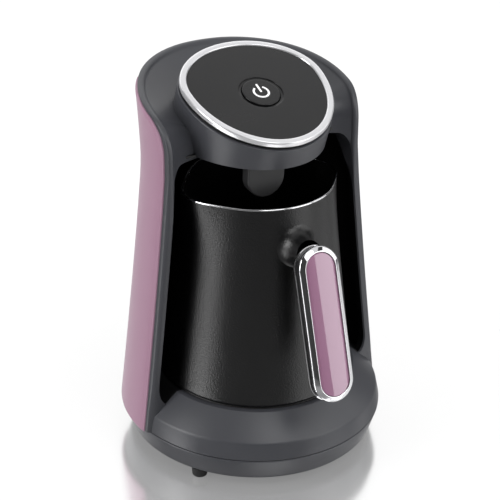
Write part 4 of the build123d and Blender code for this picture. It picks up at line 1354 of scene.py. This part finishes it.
# %% [markdown]
# The rim is turned bright, so it is a ring of its own on top of the coated wall.

# %% Pot rim
pot_rim = closed_skin("pot_rim", stack(
    lambda z, inset: pot_loop(z, inset, 1.0), (148.0, 0.05),
    *bend(4, (148.3, -0.05), (0.5, 0.5), across=True), *bend(4, (148.8, 0.9), (-0.5, 0.55)),
    (148.0, 1.35), (148.0, 0.05),
))
finish_piece(pot_rim, "pot", "steel", material=by_slot["chrome_trim"])

# %% [markdown]
# ## Handle
# The grip is a sandwich of pill shapes on a plane that leans back: a bright frame round a
# crowned inlay, a dark core, a bright back trim and a dark back cover. Each is a stack of pills
# with its own small radii, so the light breaks along every edge.

# %% Grip outline
GRIP_Y, GRIP_Z = POT_Y - 73.0, 98.8
GRIP_LEAN = radians(19.5)
GRIP_LENGTH = 80.0
GRIP_WIDTH = 22.6
FRAME_BAND = 2.95
CROWN = 0.75


def grip_point(x, up, depth):
    """A point of the grip: across, up along it, and back from its face."""
    return (
        x,
        GRIP_Y + up * sin(GRIP_LEAN) + depth * cos(GRIP_LEAN),
        GRIP_Z + up * cos(GRIP_LEAN) - depth * sin(GRIP_LEAN),
    )


def pill_outline(inset):
    """Points (x, up) of the grip's pill, moved in by inset."""
    r = GRIP_WIDTH / 2 - inset
    straight = (GRIP_LENGTH - GRIP_WIDTH) / 2
    points = []
    for side in (1, -1):
        for step in range(21):
            angle = pi * step / 20
            points.append((side * r * cos(angle), side * (straight + r * sin(angle))))
        for step in range(1, 12):
            points.append((-side * r, side * straight * (1 - step / 6)))
    return points


def pill_loop(inset, depth, crown=0.0):
    """The pill at a depth, its middle line raised by crown."""
    half = GRIP_WIDTH / 2 - FRAME_BAND
    loop = []
    for x, up in pill_outline(inset):
        raised = crown * max(0.0, 1 - (x / half) ** 2)
        loop.append(grip_point(x, up, depth - raised))
    return loop

# %% [markdown]
# From the face back, the pieces are a frame with a soft slope, an inlay that is crowned across
# its width, a core, a trim and a cover with a well rounded edge.

# %% Grip pieces
grip_frame = closed_skin("grip_frame", stack(
    pill_loop, (2.95, 2.8), (2.95, 0.35), (2.9, 0.14), (2.75, 0.03), (2.55, 0.0), (2.35, 0.05),
    (2.15, 0.17), (0.55, 1.08), (0.25, 1.3), (0.06, 1.6), (0.0, 1.95), (0.0, 2.5), (0.3, 2.8),
    (2.95, 2.8),
))
finish_piece(grip_frame, "pot", "chrome_trim", "handle_frame")

inlay_in = FRAME_BAND + 0.1
inlay_loops = stack(
    pill_loop, (inlay_in, 2.6), (inlay_in, 0.75), (inlay_in + 0.1, 0.6),
    *((inset, 0.5, CROWN) for inset in (inlay_in + 0.35, 4.6, 6.0, 7.4, 8.8, 10.2)),
)
inlay = skin("grip_inlay", inlay_loops, cap_last=True)
finish_piece(inlay, "pot", "mauve_plastic", "handle_inlay", material=inlay_mauve)

core_loops = stack(
    pill_loop, (3.0, 2.7), (1.2, 2.7), (0.9, 3.0), (0.9, 6.1), (1.2, 6.4), (3.0, 6.5)
)
core = skin("grip_core", core_loops, cap_first=True, cap_last=True)
finish_piece(core, "pot", "black_plastic", "handle_core")

back_trim = closed_skin("grip_back_trim", stack(
    pill_loop, (FRAME_BAND, 6.4), (0.3, 6.4), (0.0, 6.7), *bend(4, (0.0, 7.2), (0.5, 0.5)),
    (FRAME_BAND, 7.7), (FRAME_BAND, 6.4),
))
finish_piece(back_trim, "pot", "chrome_trim", "handle_back_trim")

cover_in = FRAME_BAND + 0.05
cover_loops = stack(
    pill_loop, (cover_in, 6.5), *bend(6, (cover_in, 8.1), (2.1, 2.15)), (7.2, 10.28)
)
back_cover = skin("grip_back_cover", cover_loops, cap_first=True, cap_last=True)
finish_piece(back_cover, "pot", "black_plastic", "handle_back_cover")

# %% [markdown]
# The boss is a round stem that flares where it meets the pot. Its loops are circles round a
# level axis; the last ones are laid on the pot's own wall, and the first on the grip's back.

# %% Handle boss
BOSS_Z, BOSS_R = 128.0, 7.2
ROOT_FROM, ROOT_FLARE = 0.3, 5.4
COVER_BACK = 10.1


def boss_loop(radius, share):
    """A loop of the boss: share 0 lies on the grip's back, 1 on the pot's wall."""
    points = []
    for step in range(72):
        angle = 2 * pi * step / 72
        x, z = radius * cos(angle), BOSS_Z + radius * sin(angle)
        up = (z - GRIP_Z + COVER_BACK * sin(GRIP_LEAN)) / cos(GRIP_LEAN)
        near = grip_point(0, up, COVER_BACK)[1]
        wall = pot_radius(z, -pi / 2)
        far = POT_Y - sqrt(wall**2 - x**2) + 0.3
        points.append((x, near + (far - near) * share, z))
    return points


boss = skin("handle_stem", stack(
    boss_loop, *((BOSS_R, share) for share in (0.0, 0.06, 0.12, 0.2)),
    *bend(10, (BOSS_R, ROOT_FROM), (ROOT_FLARE, 1 - ROOT_FROM)),
))
finish_piece(boss, "pot", "pot_coating", "handle_boss")

# %% [markdown]
# ## Floor
# The stand is a plain white gloss sheet, so the object stands on its own faint reflection. The
# polish fades with distance, and a glow of its own, seen by the camera, keeps the sheet white.

# %% Floor
POLISH_NEAR, POLISH_FAR = 0.66, 0.42
POLISH_FADE = (0.07, 0.26)
POLISH_ROUGH = 0.16
FLOOR_GREY = 0.35
GLOW_BASE = 0.88
FLOOR_IN_GLOSS = 0.10
WHITE = (1, 1, 1, 1)

bpy.ops.mesh.primitive_plane_add(size=40)
floor = bpy.context.object
floor.name = "floor"
deselect()
floor_finish = bpy.data.materials.new("polished white floor")
floor_finish.use_nodes = True
tree = floor_finish.node_tree
tree.nodes.remove(tree.nodes["Principled BSDF"])
distance = add(tree, "VectorMath", add(tree, "TexCoord").outputs["Object"])
distance.operation = "LENGTH"
fade = add(
    tree, "MapRange", Value=distance.outputs["Value"], From_Min=POLISH_FADE[0],
    From_Max=POLISH_FADE[1], To_Min=POLISH_NEAR, To_Max=POLISH_FAR,
).outputs["Result"]
paint = add(tree, "BsdfDiffuse", Color=(FLOOR_GREY, FLOOR_GREY, FLOOR_GREY, 1))
polish = add(tree, "BsdfGlossy", Color=WHITE, Roughness=POLISH_ROUGH)
surface = add(tree, "MixShader", fade, paint.outputs[0], polish.outputs[0])
seen = add(tree, "LightPath").outputs
left_over = math_node(tree, "SUBTRACT", GLOW_BASE, fade)
for_camera = math_node(tree, "MULTIPLY", seen["Is Camera Ray"], left_over)
for_gloss = math_node(tree, "MULTIPLY", seen["Is Glossy Ray"], FLOOR_IN_GLOSS)
strength = math_node(tree, "ADD", for_camera, for_gloss)
glow = add(tree, "Emission", Color=WHITE, Strength=strength)
both = add(tree, "AddShader", surface.outputs[0], glow.outputs[0])
plug(tree, tree.nodes["Material Output"].inputs, both.outputs[:1])
floor.data.materials.append(floor_finish)

# %% [markdown]
# ## World and lamps
# Large soft boxes round the object draw long highlights along its edges. The world is white to
# the camera and nearly dark to everything else, so the boxes alone shape the body.

# %% World and lamps
WORLD_LIGHT = 0.05
LAMPS = (
    ("left box", (-1000, 40, 450), 110, 420, 800, 6.2),
    ("front right box", (541, -719, 450), 110, 585, 900, 2.3),
    ("right box", (900, -250, 480), 110, 520, 840, 1.2),
    ("front high box", (-60, -620, 900), 110, 500, 500, 3.0),
    ("top box", (150, 250, 1100), 120, 1500, 1500, 0.72),
    ("back box", (150, 950, 520), 120, 2200, 1100, 0.95),
)

world = bpy.data.worlds.new("studio")
bpy.context.scene.world = world
world.use_nodes = True
tree = world.node_tree
back = tree.nodes["Background"]
seen = add(tree, "LightPath").outputs["Is Camera Ray"]
bright = math_node(tree, "MAXIMUM", seen, WORLD_LIGHT)
plug_named(tree, back, {"Color": WHITE, "Strength": bright})


def lamp(name, place, aim_z, size, size_y, radiance):
    """A soft box at a place in mm, aimed at a height over the middle, where white is 1."""
    deselect()
    bpy.ops.object.light_add(type="AREA", location=Vector(place) * MM)
    obj = bpy.context.object
    obj.name = name
    obj.data.shape = "RECTANGLE"
    obj.data.size, obj.data.size_y = size * MM, size_y * MM
    obj.data.energy = radiance * pi * size * size_y * MM * MM
    aim = Vector((0, 0, aim_z)) - Vector(place)
    obj.rotation_euler = aim.to_track_quat("-Z", "Y").to_euler()
    obj.visible_camera = False


for row in LAMPS:
    lamp(*row)
print("lamps", len(LAMPS))

# %% [markdown]
# ## Camera
# The camera's place, its lens and its small roll were worked out from the outline of the base.

# %% Camera
AZ, EL, ROLL = radians(-29.60), radians(27.79), radians(1.84)
TARGET = Vector((0, POT_Y, 117.0))
DISTANCE = 881.6
SHIFT_RIGHT, SHIFT_UP = -4.30, -9.55
FOCAL_PIXELS = 1679.2
IMAGE_PIXELS = 500
SENSOR_WIDTH = 36
right = Vector((cos(AZ), sin(AZ), 0))
away = Vector((sin(AZ) * cos(EL), -cos(AZ) * cos(EL), sin(EL)))
up = away.cross(right)
view_right = right * cos(ROLL) + up * sin(ROLL)
view_up = up * cos(ROLL) - right * sin(ROLL)
place = TARGET + away * DISTANCE + view_right * SHIFT_RIGHT + view_up * SHIFT_UP
deselect()
bpy.ops.object.camera_add(location=place * MM)
camera = bpy.context.object
turn = Matrix((view_right, view_up, away)).transposed().to_4x4()
camera.matrix_world = Matrix.Translation(place * MM) @ turn
camera.data.sensor_width = SENSOR_WIDTH
camera.data.lens = SENSOR_WIDTH * FOCAL_PIXELS / IMAGE_PIXELS
camera.data.clip_end = 100
bpy.context.scene.camera = camera
bpy.context.scene.view_settings.view_transform = "Standard"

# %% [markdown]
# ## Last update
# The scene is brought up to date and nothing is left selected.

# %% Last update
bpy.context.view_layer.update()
deselect()
